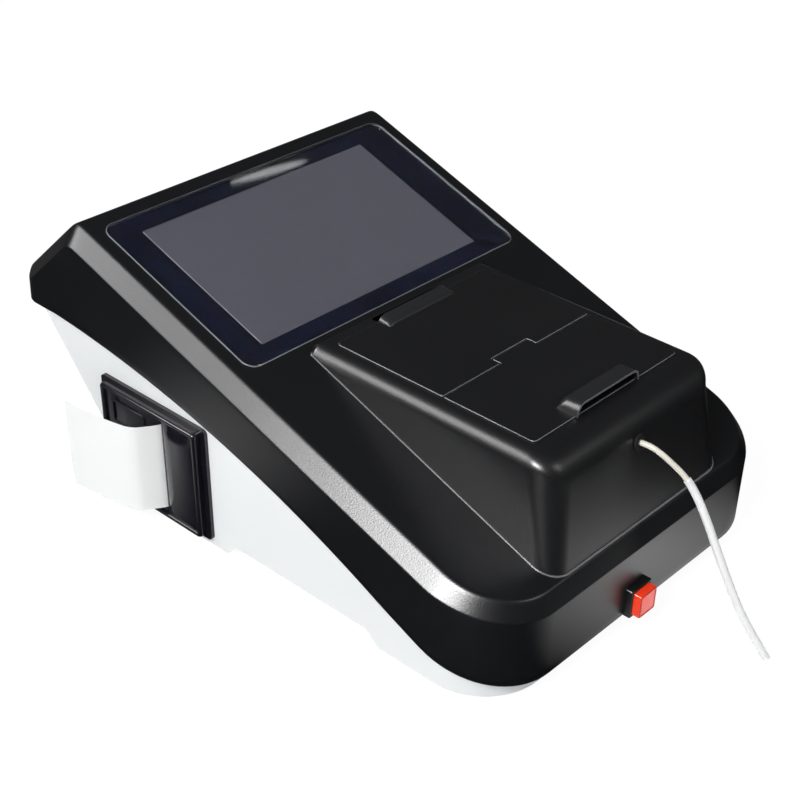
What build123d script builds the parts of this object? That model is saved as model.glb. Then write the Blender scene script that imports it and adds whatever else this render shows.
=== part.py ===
from build123d import *
import os
from math import atan2, cos, degrees, hypot, radians, sin, tan

# Benchtop biochemistry analyzer, in millimetres.
# +X is the user's right, +Y the back and +Z up. The origin is the centre of the rear foot strip, on the bench.

# Cover: a wedge with a screen slope, a bevel behind it and a 45 degree rim
half_width = 128.1
front_y = -247.0
rear_y = 114.0
ridge_y = 68.1
ridge_z = 165.4
slope_angle = 18.83
bevel_foot_z = 121.5
rim_width = 9.0
rim_half = half_width - rim_width
rim_reach = 327.4
rim_corner = 38.0
front_corner = 47.0
rear_corner = 14.0
cover_wall = 3.0

# Parting curve between cover and base, as Y and Z
part_rear_z = 104.5
part_knee_y = 83.0
part_mid = (-40.0, 85.2)
part_low = (-167.0, 40.3)
part_nose = (-262.0, 4.5)
base_lip = 4.0

# Base
base_step = 7.9
base_half = half_width - base_step
base_front_y = -241.0
base_rear_y = 106.0
base_draft = 2.5
base_wall = 2.6
base_front_corner = 38.0
base_rear_corner = 8.0
stern_foot_y = 50.0
stern_foot_z = 42.0
stern_top_y = 96.0
stern_top_z = 101.0
foot_height = 0.8
arch_height = 8.8
rear_band = 50.0
front_band = (-239.0, -165.0)
band_slope = 8.0
strip_half_length = 80.0
strip_width = 20.0
strip_depth = 1.2
front_strip_y = -202.0

# Hood over the bays
hood_top = 123.8
hood_half = 72.94
hood_back_y = -68.5
hood_top_front_y = -229.6
hood_foot = (-240.5, 60.2)
hood_draft = 3.5
hood_corner = 15.0
hood_edge = 9.0
hood_wall = 2.6
hood_roof = 4.0
bay_half = 58.0
bay_y = (-208.0, -80.0)

# Lids
lid_half = 62.3
lid_gap = 0.2
lid_plate = 2.6
lid_proud = 0.8
seam_y = -152.1
seam_gap = 0.7
front_lid_y = -211.5
rear_lid_y = -76.3
lid_bar = 4.4
bar_round = 0.8
tongue_half = 15.0
tongue_reach = 6.3
pin_radius = 0.75
pin_clearance = 0.05
pin_end = 66.0
stub_start = 17.0
handle_half = 29.0
handle_height = 7.0
front_handle_depth = 14.0
rear_handle_depth = 8.0

# Screen
glass_width = 222.0
glass_length = 126.0
glass_from_ridge = 10.8
glass_corner = 8.0
glass_thickness = 1.8
glass_proud = 0.6
window_width = 205.0
window_length = 114.0
gasket_thickness = 1.2
display_width = 193.0
display_length = 110.0
display_thickness = 5.0
active_width = 177.0
active_length = 101.3
active_shift = -2.7
bracket_thickness = 1.5
main_board_drop = 12.0
board_thickness = 1.6

# Button
button_x = -7.5
button_z = 17.5
cap_side = 14.5
cap_reach = 7.0
button_travel = 2.5
bezel_side = 18.0
bezel_proud = 3.0
sleeve_side = 16.4
button_clearance = 0.3

# Sipper tube and flow cell
tube_exit_z = 105.6
tube_radius = 2.0
cell_inlet_radius = 1.5
optic_y = -185.0
optic_z = 58.0
bench_top = 42.0
bench_thickness = 4.0
cell_side = 10.0
block_half = 14.0
block_depth = 24.0
block_top = 90.0

# Bay tray and pump
tray_floor = 88.0
tray_wall = 2.0
tray_half = 56.0
tray_y = (-206.0, -82.0)
pump_y = -112.0
pump_height = 12.0
roller_ring = 12.5
roller_radius = 4.5
track_radius = 20.5
pump_tube_radius = 1.5

# Printer in the left wall
printer_height = 75.0
printer_low = 5.0
printer_front = 40.0
printer_rear = 47.0
flange_thickness = 2.2
face_height = 5.5
paper_width = 57.0
roll_radius = 20.0
platen_radius = 3.9
slot_x = 7.4

ON_FLOOR = (Align.CENTER, Align.CENTER, Align.MIN)
os.makedirs("parts", exist_ok=True)

# Planes: on each, +Z points into the machine
slope_rad = radians(slope_angle)
bevel_rad = atan2(ridge_z - bevel_foot_z, rear_y - ridge_y)
wall_lean = radians(base_draft)
slope = Plane(origin=(0, ridge_y, ridge_z), x_dir=(1, 0, 0), z_dir=(0, sin(slope_rad), -cos(slope_rad)))
bevel = Plane(origin=(0, ridge_y, ridge_z), x_dir=(1, 0, 0), z_dir=(0, -sin(bevel_rad), -cos(bevel_rad)))
stern_run = stern_top_y - stern_foot_y
stern_rise = stern_top_z - stern_foot_z
stern_length = hypot(stern_run, stern_rise)
stern = Plane(
    origin=(0, (stern_foot_y + stern_top_y) / 2, (stern_foot_z + stern_top_z) / 2),
    x_dir=(1, 0, 0),
    z_dir=(0, -stern_rise / stern_length, stern_run / stern_length),
)
# Left wall: +X to the front, +Y up the wall, +Z out of the machine
left_wall = Plane(origin=(-base_half, 0, 0), x_dir=(0, -1, 0), z_dir=(-cos(wall_lean), 0, -sin(wall_lean)))
hood_down = Plane(origin=(0, 0, hood_top), x_dir=(1, 0, 0), z_dir=(0, 0, -1))
hood_lean = atan2(hood_top_front_y - hood_foot[0], hood_top - hood_foot[1])


def slope_z(y):
    """Height of the screen slope at a given y."""
    return ridge_z - (ridge_y - y) * tan(slope_rad)


def cover_form(inset):
    """Solid form of the cover, moved inwards by inset and left long below."""
    with BuildPart() as form:
        with BuildSketch(Plane.XY.offset(-20)):
            with Locations((0, (front_y + rear_y) / 2)):
                Rectangle(2 * (half_width - inset), rear_y - front_y - 2 * inset)
            fillet(vertices().group_by(Axis.Y)[0], radius=front_corner - inset)
            fillet(vertices().group_by(Axis.Y)[-1], radius=rear_corner - inset)
        extrude(amount=ridge_z + 40)
        with BuildSketch(Plane.YZ):
            with BuildLine():
                Polyline(
                    (rear_y, -60),
                    (rear_y, bevel_foot_z),
                    (ridge_y, ridge_z),
                    (front_y, slope_z(front_y)),
                    (front_y, -60),
                    close=True,
                )
            make_face()
            if inset > 0:
                offset(amount=-inset, kind=Kind.INTERSECTION, mode=Mode.REPLACE)
        extrude(amount=2 * half_width, both=True, mode=Mode.INTERSECT)
        # The rim: both sloped tops widen downwards at 45 degrees
        rim_inset = inset * (2**0.5 - 1)
        with BuildSketch(slope.offset(inset)):
            with Locations((0, rim_reach / 2 - 150)):
                Rectangle(2 * (rim_half - rim_inset), rim_reach + 300 - 2 * rim_inset)
            fillet(vertices().group_by(Axis.Y)[-1], radius=rim_corner - rim_inset)
        extrude(amount=320, taper=-45, mode=Mode.INTERSECT)
        with BuildSketch(bevel.offset(inset)):
            Rectangle(2 * (rim_half - rim_inset), 800)
        extrude(amount=450, taper=-45, mode=Mode.INTERSECT)
    return form.part


def parting_form(lift, height):
    """Everything above the parting curve raised by lift, or below it where height is negative."""
    with BuildPart() as form:
        with BuildSketch(Plane.YZ):
            with BuildLine():
                tail = Line((rear_y + 60, part_rear_z + lift), (part_knee_y, part_rear_z + lift))
                belly = ThreePointArc(
                    tail @ 1,
                    (part_mid[0], part_mid[1] + lift),
                    (part_low[0], part_low[1] + lift),
                )
                nose = TangentArc(belly @ 1, (part_nose[0], part_nose[1] + lift), tangent=belly % 1)
                Polyline(
                    nose @ 1,
                    (front_y - 60, part_nose[1] + lift),
                    (front_y - 60, height),
                    (rear_y + 60, height),
                    tail @ 0,
                )
            make_face()
        extrude(amount=2 * half_width, both=True)
    return form.part


# Top cover: the black wedge, with the screen seat and the opening under the hood
screw_x = 95.0
front_screw_y = -205.0
rear_screw = (90.0, 103.0)
boss_radius = 5.0
front_boss_z = 30.0
cover_hole_radius = 2.0
hood_screw_radius = 1.5
hood_screws_at = [(-68, 160), (68, 160), (-70, 290), (70, 290)]
glass_centre = glass_from_ridge + glass_length / 2
glass_seat = glass_thickness - glass_proud
with BuildPart() as top_cover:
    add(cover_form(0))
    add(cover_form(cover_wall), mode=Mode.SUBTRACT)
    with Locations((-screw_x, front_screw_y, front_boss_z), (screw_x, front_screw_y, front_boss_z)):
        Cylinder(boss_radius, 100, align=ON_FLOOR)
    with Locations((-rear_screw[0], rear_screw[1], part_rear_z), (rear_screw[0], rear_screw[1], part_rear_z)):
        Cylinder(boss_radius, 100, align=ON_FLOOR)
    add(cover_form(0), mode=Mode.INTERSECT)
    with Locations((-screw_x, front_screw_y, front_boss_z), (screw_x, front_screw_y, front_boss_z)):
        Cylinder(cover_hole_radius, 15, align=ON_FLOOR, mode=Mode.SUBTRACT)
    with Locations((-rear_screw[0], rear_screw[1], part_rear_z), (rear_screw[0], rear_screw[1], part_rear_z)):
        Cylinder(cover_hole_radius, 12, align=ON_FLOOR, mode=Mode.SUBTRACT)
    with BuildSketch(slope) as seat:
        with Locations((0, glass_centre)):
            RectangleRounded(glass_width + 0.4, glass_length + 0.4, glass_corner + 0.2)
    extrude(amount=glass_seat, mode=Mode.SUBTRACT)
    with BuildSketch(slope) as window:
        with Locations((0, glass_centre)):
            Rectangle(window_width, window_length)
    extrude(amount=cover_wall + 1, mode=Mode.SUBTRACT)
    with Locations((0, (tray_y[0] + tray_y[1]) / 2, bench_top)):
        Box(2 * tray_half + 8, tray_y[1] - tray_y[0] + 12, 90, align=ON_FLOOR, mode=Mode.SUBTRACT)
    with Locations((button_x, front_y, (button_z + sleeve_side / 2) / 2)):
        Box(sleeve_side + 0.2, 20, button_z + sleeve_side / 2 + 0.2, mode=Mode.SUBTRACT)
    with BuildSketch(slope):
        with Locations(*hood_screws_at):
            Circle(hood_screw_radius + 0.1)
    extrude(amount=cover_wall + 1, mode=Mode.SUBTRACT)
    add(parting_form(0, 300), mode=Mode.INTERSECT)
top_cover.part.label = "top_cover"
export_step(top_cover.part, "parts/top_cover.step")


def base_form(inset):
    """Solid form of the base, moved inwards by inset; its walls lean out by the mould draft."""
    with BuildPart() as form:
        with BuildSketch():
            with Locations((0, (base_front_y + base_rear_y) / 2)):
                Rectangle(2 * (base_half - inset), base_rear_y - base_front_y - 2 * inset)
            fillet(vertices().group_by(Axis.Y)[0], radius=base_front_corner - inset)
            fillet(vertices().group_by(Axis.Y)[-1], radius=base_rear_corner - inset)
        extrude(amount=part_rear_z + 30, taper=-base_draft)
        with BuildSketch(Plane.YZ):
            with BuildLine():
                Polyline(
                    (stern_foot_y, foot_height),
                    (stern_foot_y, stern_foot_z),
                    (stern_top_y, stern_top_z),
                    (rear_y + 30, stern_top_z),
                    (rear_y + 30, stern_top_z + 60),
                    (front_y - 30, stern_top_z + 60),
                    (front_y - 30, foot_height),
                    (front_band[1], foot_height),
                    (front_band[1] + band_slope, arch_height),
                    (-rear_band - band_slope, arch_height),
                    (-rear_band, foot_height),
                    close=True,
                )
            make_face()
            if inset > 0:
                offset(amount=-inset, kind=Kind.INTERSECTION, mode=Mode.REPLACE)
        extrude(amount=2 * half_width, both=True, mode=Mode.INTERSECT)
    return form.part


# Base housing: the white lower shell, with screw posts, printer opening, fan grille and socket holes
floor_z = foot_height + base_wall
fan_side = 40.0
fan_hole_radius = 18.5
socket_z = 24.0
inlet_x = 40.0
rocker_x = 78.0
usb_x = 5.0
serial_x = -38.0
power_board_at = (30.0, 0.0)
power_board_size = (90.0, 62.0)
standoff_height = 6.0
chamber_back = 48.0
chamber_front = 14.0
chamber_rear = 41.2
chamber_wall = 2.0
face_low = printer_low + 4
face_high = printer_low + printer_height - 4
with BuildPart() as base_housing:
    add(base_form(0))
    add(base_form(base_wall), mode=Mode.SUBTRACT)
    with Locations((-screw_x, front_screw_y, foot_height), (screw_x, front_screw_y, foot_height)):
        Cylinder(boss_radius, front_boss_z - foot_height, align=ON_FLOOR)
        Cylinder(2.2, front_boss_z - foot_height, align=ON_FLOOR, mode=Mode.SUBTRACT)
        Cylinder(3.9, 5.2, align=ON_FLOOR, mode=Mode.SUBTRACT)
    with Locations((-rear_screw[0], rear_screw[1], 90), (rear_screw[0], rear_screw[1], 90)):
        Cylinder(2.2, 30, align=ON_FLOOR, mode=Mode.SUBTRACT)
    with Locations(Plane((power_board_at[0], power_board_at[1], floor_z))):
        with GridLocations(power_board_size[0] - 10, power_board_size[1] - 10, 2, 2):
            Cylinder(3, standoff_height, align=ON_FLOOR)
    for strip_y in (0, front_strip_y):
        with Locations((0, strip_y, 0)):
            Box(
                2 * strip_half_length,
                strip_width,
                foot_height + strip_depth,
                align=ON_FLOOR,
                mode=Mode.SUBTRACT,
            )
    with BuildSketch(left_wall.offset(-8)):
        with Locations(((chamber_front - chamber_rear) / 2, (face_low + face_high) / 2)):
            Rectangle(
                chamber_front + chamber_rear + 2 * chamber_wall + 0.4,
                face_high - face_low + 2 * chamber_wall + 0.4,
            )
    extrude(amount=16, mode=Mode.SUBTRACT)
    with BuildSketch(stern.offset(-6)):
        Circle(fan_hole_radius)
        for ring_radius in (14.0, 9.5, 5.0):
            Circle(ring_radius + 0.7, mode=Mode.SUBTRACT)
            Circle(ring_radius - 0.7)
        Rectangle(2, 2 * fan_hole_radius, mode=Mode.SUBTRACT)
        Rectangle(2 * fan_hole_radius, 2, mode=Mode.SUBTRACT)
    extrude(amount=12, mode=Mode.SUBTRACT)
    with BuildSketch(Plane.XZ.offset(-stern_foot_y - 4)):
        with Locations((inlet_x, socket_z)):
            Circle(5.5)
        with Locations((rocker_x, socket_z)):
            Rectangle(21.2, 15.2)
        with Locations((usb_x, socket_z)):
            Rectangle(13.6, 15.2)
        with Locations((serial_x, socket_z)):
            Rectangle(25.2, 11.2)
    extrude(amount=8, mode=Mode.SUBTRACT)
    with Locations((button_x, base_front_y, button_z)):
        Box(sleeve_side + 0.4, 16, sleeve_side + 0.4, mode=Mode.SUBTRACT)
    add(parting_form(base_lip, -60), mode=Mode.INTERSECT)
base_housing.part.label = "base_housing"
export_step(base_housing.part, "parts/base_housing.step")

# Rubber strips let into the two foot bands
with BuildPart() as rubber_feet:
    with Locations((0, 0, 0), (0, front_strip_y, 0)):
        Box(2 * strip_half_length, strip_width, foot_height + strip_depth, align=ON_FLOOR)
rubber_feet.part.label = "rubber_feet"
export_step(rubber_feet.part, "parts/rubber_feet.step")

# Screws that join base and cover: two long ones from below, two short ones under the rear shelf
with BuildPart() as cover_screws:
    with Locations((-screw_x, front_screw_y, 3), (screw_x, front_screw_y, 3)):
        Cylinder(3.5, 3, align=ON_FLOOR)
        Cylinder(cover_hole_radius, 40, align=ON_FLOOR)
    with Locations(
        (-rear_screw[0], rear_screw[1], stern_top_z - 3),
        (rear_screw[0], rear_screw[1], stern_top_z - 3),
    ):
        Cylinder(3.5, 3, align=ON_FLOOR)
        Cylinder(cover_hole_radius, 17, align=ON_FLOOR)
cover_screws.part.label = "cover_screws"
export_step(cover_screws.part, "parts/cover_screws.step")


def hood_form(inset, roof):
    """Solid form of the hood, sides moved inwards by inset and top lowered by roof."""
    with BuildPart() as form:
        with BuildSketch(hood_down.offset(roof)):
            with Locations((0, -hood_back_y + inset)):
                Rectangle(2 * (hood_half - inset), 260, align=(Align.CENTER, Align.MIN))
        extrude(amount=110, taper=-hood_draft)
        nose_shift = inset / cos(hood_lean) + roof * tan(hood_lean)
        with BuildSketch(Plane.YZ):
            with BuildLine():
                Polyline(
                    (40, hood_top),
                    (hood_top_front_y + nose_shift - roof * tan(hood_lean), hood_top),
                    (hood_foot[0] + nose_shift - roof * tan(hood_lean) - 60 * tan(hood_lean), hood_foot[1] - 60),
                    (40, hood_foot[1] - 60),
                    close=True,
                )
            make_face()
        extrude(amount=2 * half_width, both=True, mode=Mode.INTERSECT)
        nose_corners = form.edges().filter_by(
            lambda edge: edge.bounding_box().size.Z > 50 and edge.center().Y < front_screw_y
        )
        fillet(nose_corners, radius=hood_corner - inset)
        fillet(form.faces().sort_by(Axis.Z)[-1].edges(), radius=max(hood_edge - roof, 2))
    return form.part


# Hood: the raised black moulding over the two bays
lid_top = hood_top + lid_proud
ledge_z = lid_top - lid_plate - 0.1
notch_half = 6.0
grommet_radius = 3.6
hood_boss_height = 7.0
nose_y = hood_foot[0] + (tube_exit_z - hood_foot[1]) * tan(hood_lean)
nose = Plane(origin=(0, nose_y, tube_exit_z), x_dir=(-1, 0, 0), z_dir=(0, -cos(hood_lean), sin(hood_lean)))
axis_z = lid_top - lid_bar / 2
front_axis_y = seam_y - (seam_gap + lid_bar) / 2
rear_axis_y = seam_y + (seam_gap + lid_bar) / 2
with BuildPart() as sample_hood:
    add(hood_form(0, 0))
    add(hood_form(hood_wall, hood_roof), mode=Mode.SUBTRACT)
    with BuildSketch(slope.offset(1)):
        with Locations(*hood_screws_at):
            Circle(4)
    extrude(amount=-hood_boss_height - 1)
    add(hood_form(0, 0), mode=Mode.INTERSECT)
    with BuildSketch(slope.offset(1)):
        with Locations(*hood_screws_at):
            Circle(hood_screw_radius)
    extrude(amount=-hood_boss_height, mode=Mode.SUBTRACT)
    split(bisect_by=slope, keep=Keep.BOTTOM)
    with Locations((0, (bay_y[0] + bay_y[1]) / 2, hood_top)):
        Box(2 * bay_half, bay_y[1] - bay_y[0], 20, mode=Mode.SUBTRACT)
    with Locations((0, (front_lid_y + rear_lid_y) / 2, ledge_z)):
        Box(
            2 * (lid_half + lid_gap),
            rear_lid_y - front_lid_y + 2 * lid_gap,
            20,
            align=ON_FLOOR,
            mode=Mode.SUBTRACT,
        )
    with Locations((0, seam_y, hood_top)):
        Box(2 * (lid_half + lid_gap), 2 * notch_half, 20, mode=Mode.SUBTRACT)
    with Locations((0, rear_lid_y + 3.5, hood_top - 2)):
        Box(2 * handle_half, 4, 6, align=ON_FLOOR, mode=Mode.SUBTRACT)
    for axis_y in (front_axis_y, rear_axis_y):
        with Locations(Plane(origin=(0, axis_y, axis_z), z_dir=(1, 0, 0))):
            Cylinder(pin_radius, 2 * pin_end, mode=Mode.SUBTRACT)
    with BuildSketch(nose.offset(-10)):
        Circle(grommet_radius)
    extrude(amount=20, mode=Mode.SUBTRACT)
sample_hood.part.label = "sample_hood"
export_step(sample_hood.part, "parts/sample_hood.step")

# Screws from under the cover into the hood
with BuildPart() as hood_screws:
    with BuildSketch(slope.offset(cover_wall)):
        with Locations(*hood_screws_at):
            Circle(hood_screw_radius)
    extrude(amount=-cover_wall - hood_boss_height + 2)
    with BuildSketch(slope.offset(cover_wall)):
        with Locations(*hood_screws_at):
            Circle(2.8)
    extrude(amount=2)
hood_screws.part.label = "hood_screws"
export_step(hood_screws.part, "parts/hood_screws.step")


def lid_form(axis_y, far_y):
    """A lid plate that reaches from its hinge to far_y, with a thicker rounded bar along the hinge."""
    with BuildPart() as form:
        with Locations((0, axis_y, axis_z)):
            Box(2 * lid_half, lid_bar, lid_bar)
        fillet(form.edges().filter_by(Axis.X), radius=bar_round)
        with Locations((0, (axis_y + far_y) / 2, lid_top - lid_plate)):
            Box(2 * lid_half, abs(far_y - axis_y), lid_plate, align=ON_FLOOR)
        outer = form.edges().filter_by(Axis.Z).group_by(Axis.Y)[-1 if far_y > axis_y else 0]
        fillet(outer, radius=3)
    return form.part


def hinge_bore(axis_y):
    """The bore for a hinge pin along a lid's bar."""
    with BuildPart() as bore:
        with Locations(Plane(origin=(0, axis_y, axis_z), z_dir=(1, 0, 0))):
            Cylinder(pin_radius + pin_clearance, 2 * lid_half + 2)
    return bore.part


# Front lid, with the tongue that reaches over the seam
with BuildPart() as front_lid:
    add(lid_form(front_axis_y, front_lid_y))
    with Locations((0, seam_y - 2, lid_top - lid_plate)):
        Box(
            2 * tongue_half,
            tongue_reach + 2,
            lid_plate,
            align=(Align.CENTER, Align.MIN, Align.MIN),
        )
    add(hinge_bore(front_axis_y), mode=Mode.SUBTRACT)
front_lid.part.label = "front_lid"
export_step(front_lid.part, "parts/front_lid.step")

# Rear lid, cut away for the tongue
with BuildPart() as rear_lid:
    add(lid_form(rear_axis_y, rear_lid_y))
    with Locations((0, seam_y, axis_z)):
        Box(
            2 * (tongue_half + 0.5),
            2 * (tongue_reach + 0.7),
            4 * lid_bar,
            mode=Mode.SUBTRACT,
        )
    add(hinge_bore(rear_axis_y), mode=Mode.SUBTRACT)
rear_lid.part.label = "rear_lid"
export_step(rear_lid.part, "parts/rear_lid.step")

# Hinge pins, pressed into the hood: one long for the front lid, two short for the rear lid
with BuildPart() as lid_hinge_pins:
    with Locations(Plane(origin=(0, front_axis_y, axis_z), z_dir=(1, 0, 0))):
        Cylinder(pin_radius, 2 * pin_end)
    with Locations(
        Plane(origin=((stub_start + pin_end) / 2, rear_axis_y, axis_z), z_dir=(1, 0, 0)),
        Plane(origin=(-(stub_start + pin_end) / 2, rear_axis_y, axis_z), z_dir=(1, 0, 0)),
    ):
        Cylinder(pin_radius, pin_end - stub_start)
lid_hinge_pins.part.label = "lid_hinge_pins"
export_step(lid_hinge_pins.part, "parts/lid_hinge_pins.step")

# Front handle: a bar with a finger hollow under its outer edge
with BuildPart() as front_lid_handle:
    with BuildSketch(Plane.YZ):
        with BuildLine():
            Polyline(
                (front_lid_y + 0.5, lid_top + handle_height - 2.6),
                (front_lid_y + 2.5, lid_top + handle_height),
                (front_lid_y + 6, lid_top + handle_height),
                (front_lid_y + front_handle_depth, lid_top),
                (front_lid_y + 9, lid_top),
                (front_lid_y + 5, lid_top + handle_height - 2.6),
                close=True,
            )
        make_face()
    extrude(amount=handle_half, both=True)
    fillet(front_lid_handle.edges().filter_by(Axis.X).group_by(Axis.Z)[-1], radius=1)
front_lid_handle.part.label = "front_lid_handle"
export_step(front_lid_handle.part, "parts/front_lid_handle.step")

# Rear handle: a low bar along the rear lid's edge, over the finger slot in the hood
with BuildPart() as rear_lid_handle:
    with BuildSketch(Plane.YZ):
        with BuildLine():
            Polyline(
                (rear_lid_y - rear_handle_depth, lid_top),
                (rear_lid_y - rear_handle_depth + 2, lid_top + 3.4),
                (rear_lid_y + 0.6, lid_top + 3.4),
                (rear_lid_y + 0.6, lid_top + 1.4),
                (rear_lid_y - 2.5, lid_top),
                close=True,
            )
        make_face()
    extrude(amount=handle_half, both=True)
    fillet(rear_lid_handle.edges().filter_by(Axis.X).group_by(Axis.Z)[-1], radius=0.8)
rear_lid_handle.part.label = "rear_lid_handle"
export_step(rear_lid_handle.part, "parts/rear_lid_handle.step")

# Screen glass, seated in the cover
with BuildPart() as screen_glass:
    with BuildSketch(slope.offset(-glass_proud)):
        with Locations((0, glass_centre)):
            RectangleRounded(glass_width, glass_length, glass_corner)
    extrude(amount=glass_thickness)
screen_glass.part.label = "screen_glass"
export_step(screen_glass.part, "parts/screen_glass.step")

# Foam gasket between the glass and the display
with BuildPart() as display_gasket:
    with BuildSketch(slope.offset(glass_seat)):
        with Locations((0, glass_centre)):
            Rectangle(display_width, display_length)
        with Locations((active_shift, glass_centre)):
            Rectangle(active_width + 2, active_length + 2, mode=Mode.SUBTRACT)
    extrude(amount=gasket_thickness)
display_gasket.part.label = "display_gasket"
export_step(display_gasket.part, "parts/display_gasket.step")

# Display module: a thin panel in a flat metal tray
display_depth = glass_seat + gasket_thickness
with BuildPart() as display_module:
    with BuildSketch(slope.offset(display_depth)):
        with Locations((0, glass_centre)):
            Rectangle(display_width, display_length)
    extrude(amount=display_thickness)
    with BuildSketch(slope.offset(display_depth)):
        with Locations((active_shift, glass_centre)):
            Rectangle(active_width, active_length)
    extrude(amount=0.3, mode=Mode.SUBTRACT)
display_module.part.label = "display_module"
export_step(display_module.part, "parts/display_module.step")

# Bracket that holds the display against the cover
bracket_depth = display_depth + display_thickness
bracket_width = 218.0
bracket_length = 112.0
bracket_window = (120.0, 70.0)
bracket_hole = (bracket_width / 2 - 5, bracket_length / 2 - 6)
board_width = 156.0
board_length = 96.0
board_hole = (board_width / 2 - 8, board_length / 2 - 6)
bracket_holes = [(x * bracket_hole[0], glass_centre + v * bracket_hole[1]) for x in (-1, 1) for v in (-1, 1)]
board_holes = [(x * board_hole[0], glass_centre + v * board_hole[1]) for x in (-1, 1) for v in (-1, 1)]
with BuildPart() as display_bracket:
    with BuildSketch(slope.offset(bracket_depth)):
        with Locations((0, glass_centre)):
            RectangleRounded(bracket_width, bracket_length, 4)
            Rectangle(*bracket_window, mode=Mode.SUBTRACT)
    extrude(amount=bracket_thickness)
    with BuildSketch(slope.offset(cover_wall)):
        with Locations(*bracket_holes):
            Circle(3.2)
    extrude(amount=bracket_depth - cover_wall)
    with BuildSketch(slope.offset(cover_wall)):
        with Locations(*bracket_holes):
            Circle(1.3)
    extrude(amount=bracket_depth, mode=Mode.SUBTRACT)
display_bracket.part.label = "display_bracket"
export_step(display_bracket.part, "parts/display_bracket.step")

# Standoffs between the bracket and the main board
standoff_depth = bracket_depth + bracket_thickness
with BuildPart() as board_standoffs:
    with BuildSketch(slope.offset(standoff_depth)):
        with Locations(*board_holes):
            RegularPolygon(3, 6)
            Circle(1.25, mode=Mode.SUBTRACT)
    extrude(amount=main_board_drop)
board_standoffs.part.label = "board_standoffs"
export_step(board_standoffs.part, "parts/board_standoffs.step")

# Main board, with its processor shield, chips and connectors
board_depth = standoff_depth + main_board_drop
with BuildPart() as main_board:
    with BuildSketch(slope.offset(board_depth)):
        with Locations((0, glass_centre)):
            RectangleRounded(board_width, board_length, 3)
        with Locations(*board_holes):
            Circle(1.25, mode=Mode.SUBTRACT)
    extrude(amount=board_thickness)
    with BuildSketch(slope.offset(board_depth + board_thickness)):
        with Locations((-35, glass_centre - 8)):
            Rectangle(34, 34)
        with Locations((10, glass_centre - 20), (10, glass_centre + 4)):
            Rectangle(20, 14)
    extrude(amount=2.4)
    with BuildSketch(slope.offset(board_depth + board_thickness)):
        with Locations((0, glass_centre + 40), (40, glass_centre + 40), (-45, glass_centre + 40)):
            Rectangle(26, 8)
    extrude(amount=8)
main_board.part.label = "main_board"
export_step(main_board.part, "parts/main_board.step")

# Screws of the bracket and of the main board
with BuildPart() as board_screws:
    with BuildSketch(slope.offset(standoff_depth)):
        with Locations(*bracket_holes):
            Circle(2.4)
    extrude(amount=1.8)
    with BuildSketch(slope.offset(cover_wall)):
        with Locations(*bracket_holes):
            Circle(1.3)
    extrude(amount=standoff_depth - cover_wall)
    with BuildSketch(slope.offset(board_depth + board_thickness)):
        with Locations(*board_holes):
            Circle(2.4)
    extrude(amount=1.8)
    with BuildSketch(slope.offset(board_depth - 5)):
        with Locations(*board_holes):
            Circle(1.25)
    extrude(amount=5 + board_thickness)
board_screws.part.label = "board_screws"
export_step(board_screws.part, "parts/board_screws.step")

# Bay tray: two open pockets under the lids, lowered under the seam where the lids' bars turn
divider_y = (-150.0, -146.0)
tray_mid = (tray_y[0] + tray_y[1]) / 2
lid_sweep = lid_bar * 0.75
with BuildPart() as bay_tray:
    with Locations((0, tray_mid, tray_floor - tray_wall)):
        Box(
            2 * tray_half,
            tray_y[1] - tray_y[0],
            hood_top - hood_roof - tray_floor + tray_wall,
            align=ON_FLOOR,
        )
    with Locations((0, tray_mid, hood_top - hood_roof - 2)):
        Box(2 * tray_half + 14, tray_y[1] - tray_y[0] + 12, 2, align=ON_FLOOR)
    with Locations((0, (tray_y[0] + tray_wall + divider_y[0]) / 2, tray_floor)):
        Box(
            2 * (tray_half - tray_wall),
            divider_y[0] - tray_y[0] - tray_wall,
            60,
            align=ON_FLOOR,
            mode=Mode.SUBTRACT,
        )
    with Locations((0, (divider_y[1] + tray_y[1] - tray_wall) / 2, tray_floor)):
        Box(
            2 * (tray_half - tray_wall),
            tray_y[1] - tray_wall - divider_y[1],
            60,
            align=ON_FLOOR,
            mode=Mode.SUBTRACT,
        )
    with Locations((0, seam_y, axis_z - 12)):
        Box(2 * (tray_half - tray_wall), 2 * notch_half + 12, 30, align=ON_FLOOR, mode=Mode.SUBTRACT)
    with Locations((0, seam_y, axis_z - lid_sweep)):
        Box(2 * (lid_half + 2), 2 * notch_half, 30, align=ON_FLOOR, mode=Mode.SUBTRACT)
    with Locations((0, optic_y, tray_floor)):
        Box(2 * block_half + 0.6, block_depth + 0.6, 10, mode=Mode.SUBTRACT)
    with Locations((0, pump_y, tray_floor)):
        Cylinder(3, 10, mode=Mode.SUBTRACT)
    with Locations(Plane(origin=(0, tray_y[0], tube_exit_z), z_dir=(0, 1, 0))):
        Cylinder(cell_inlet_radius + 1, 10, mode=Mode.SUBTRACT)
bay_tray.part.label = "bay_tray"
export_step(bay_tray.part, "parts/bay_tray.step")

# Pump housing on the rear pocket's floor: a plate with an open track
pump_floor = tray_floor + 3
track_top = pump_floor + pump_height
leg_x = track_radius - pump_tube_radius - 0.3
with BuildPart() as pump_housing:
    with Locations((0, pump_y, tray_floor)):
        Box(56, 56, 3, align=ON_FLOOR)
        Cylinder(26, 3 + pump_height, align=ON_FLOOR)
    with Locations((0, pump_y, pump_floor)):
        Cylinder(track_radius, pump_height, align=ON_FLOOR, mode=Mode.SUBTRACT)
    with Locations((0, pump_y - 30, pump_floor)):
        Box(2 * track_radius, 60, pump_height, align=ON_FLOOR, mode=Mode.SUBTRACT)
    with Locations((0, pump_y, 0)):
        Cylinder(2.6, 200, mode=Mode.SUBTRACT)
pump_housing.part.label = "pump_housing"
export_step(pump_housing.part, "parts/pump_housing.step")

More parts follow.
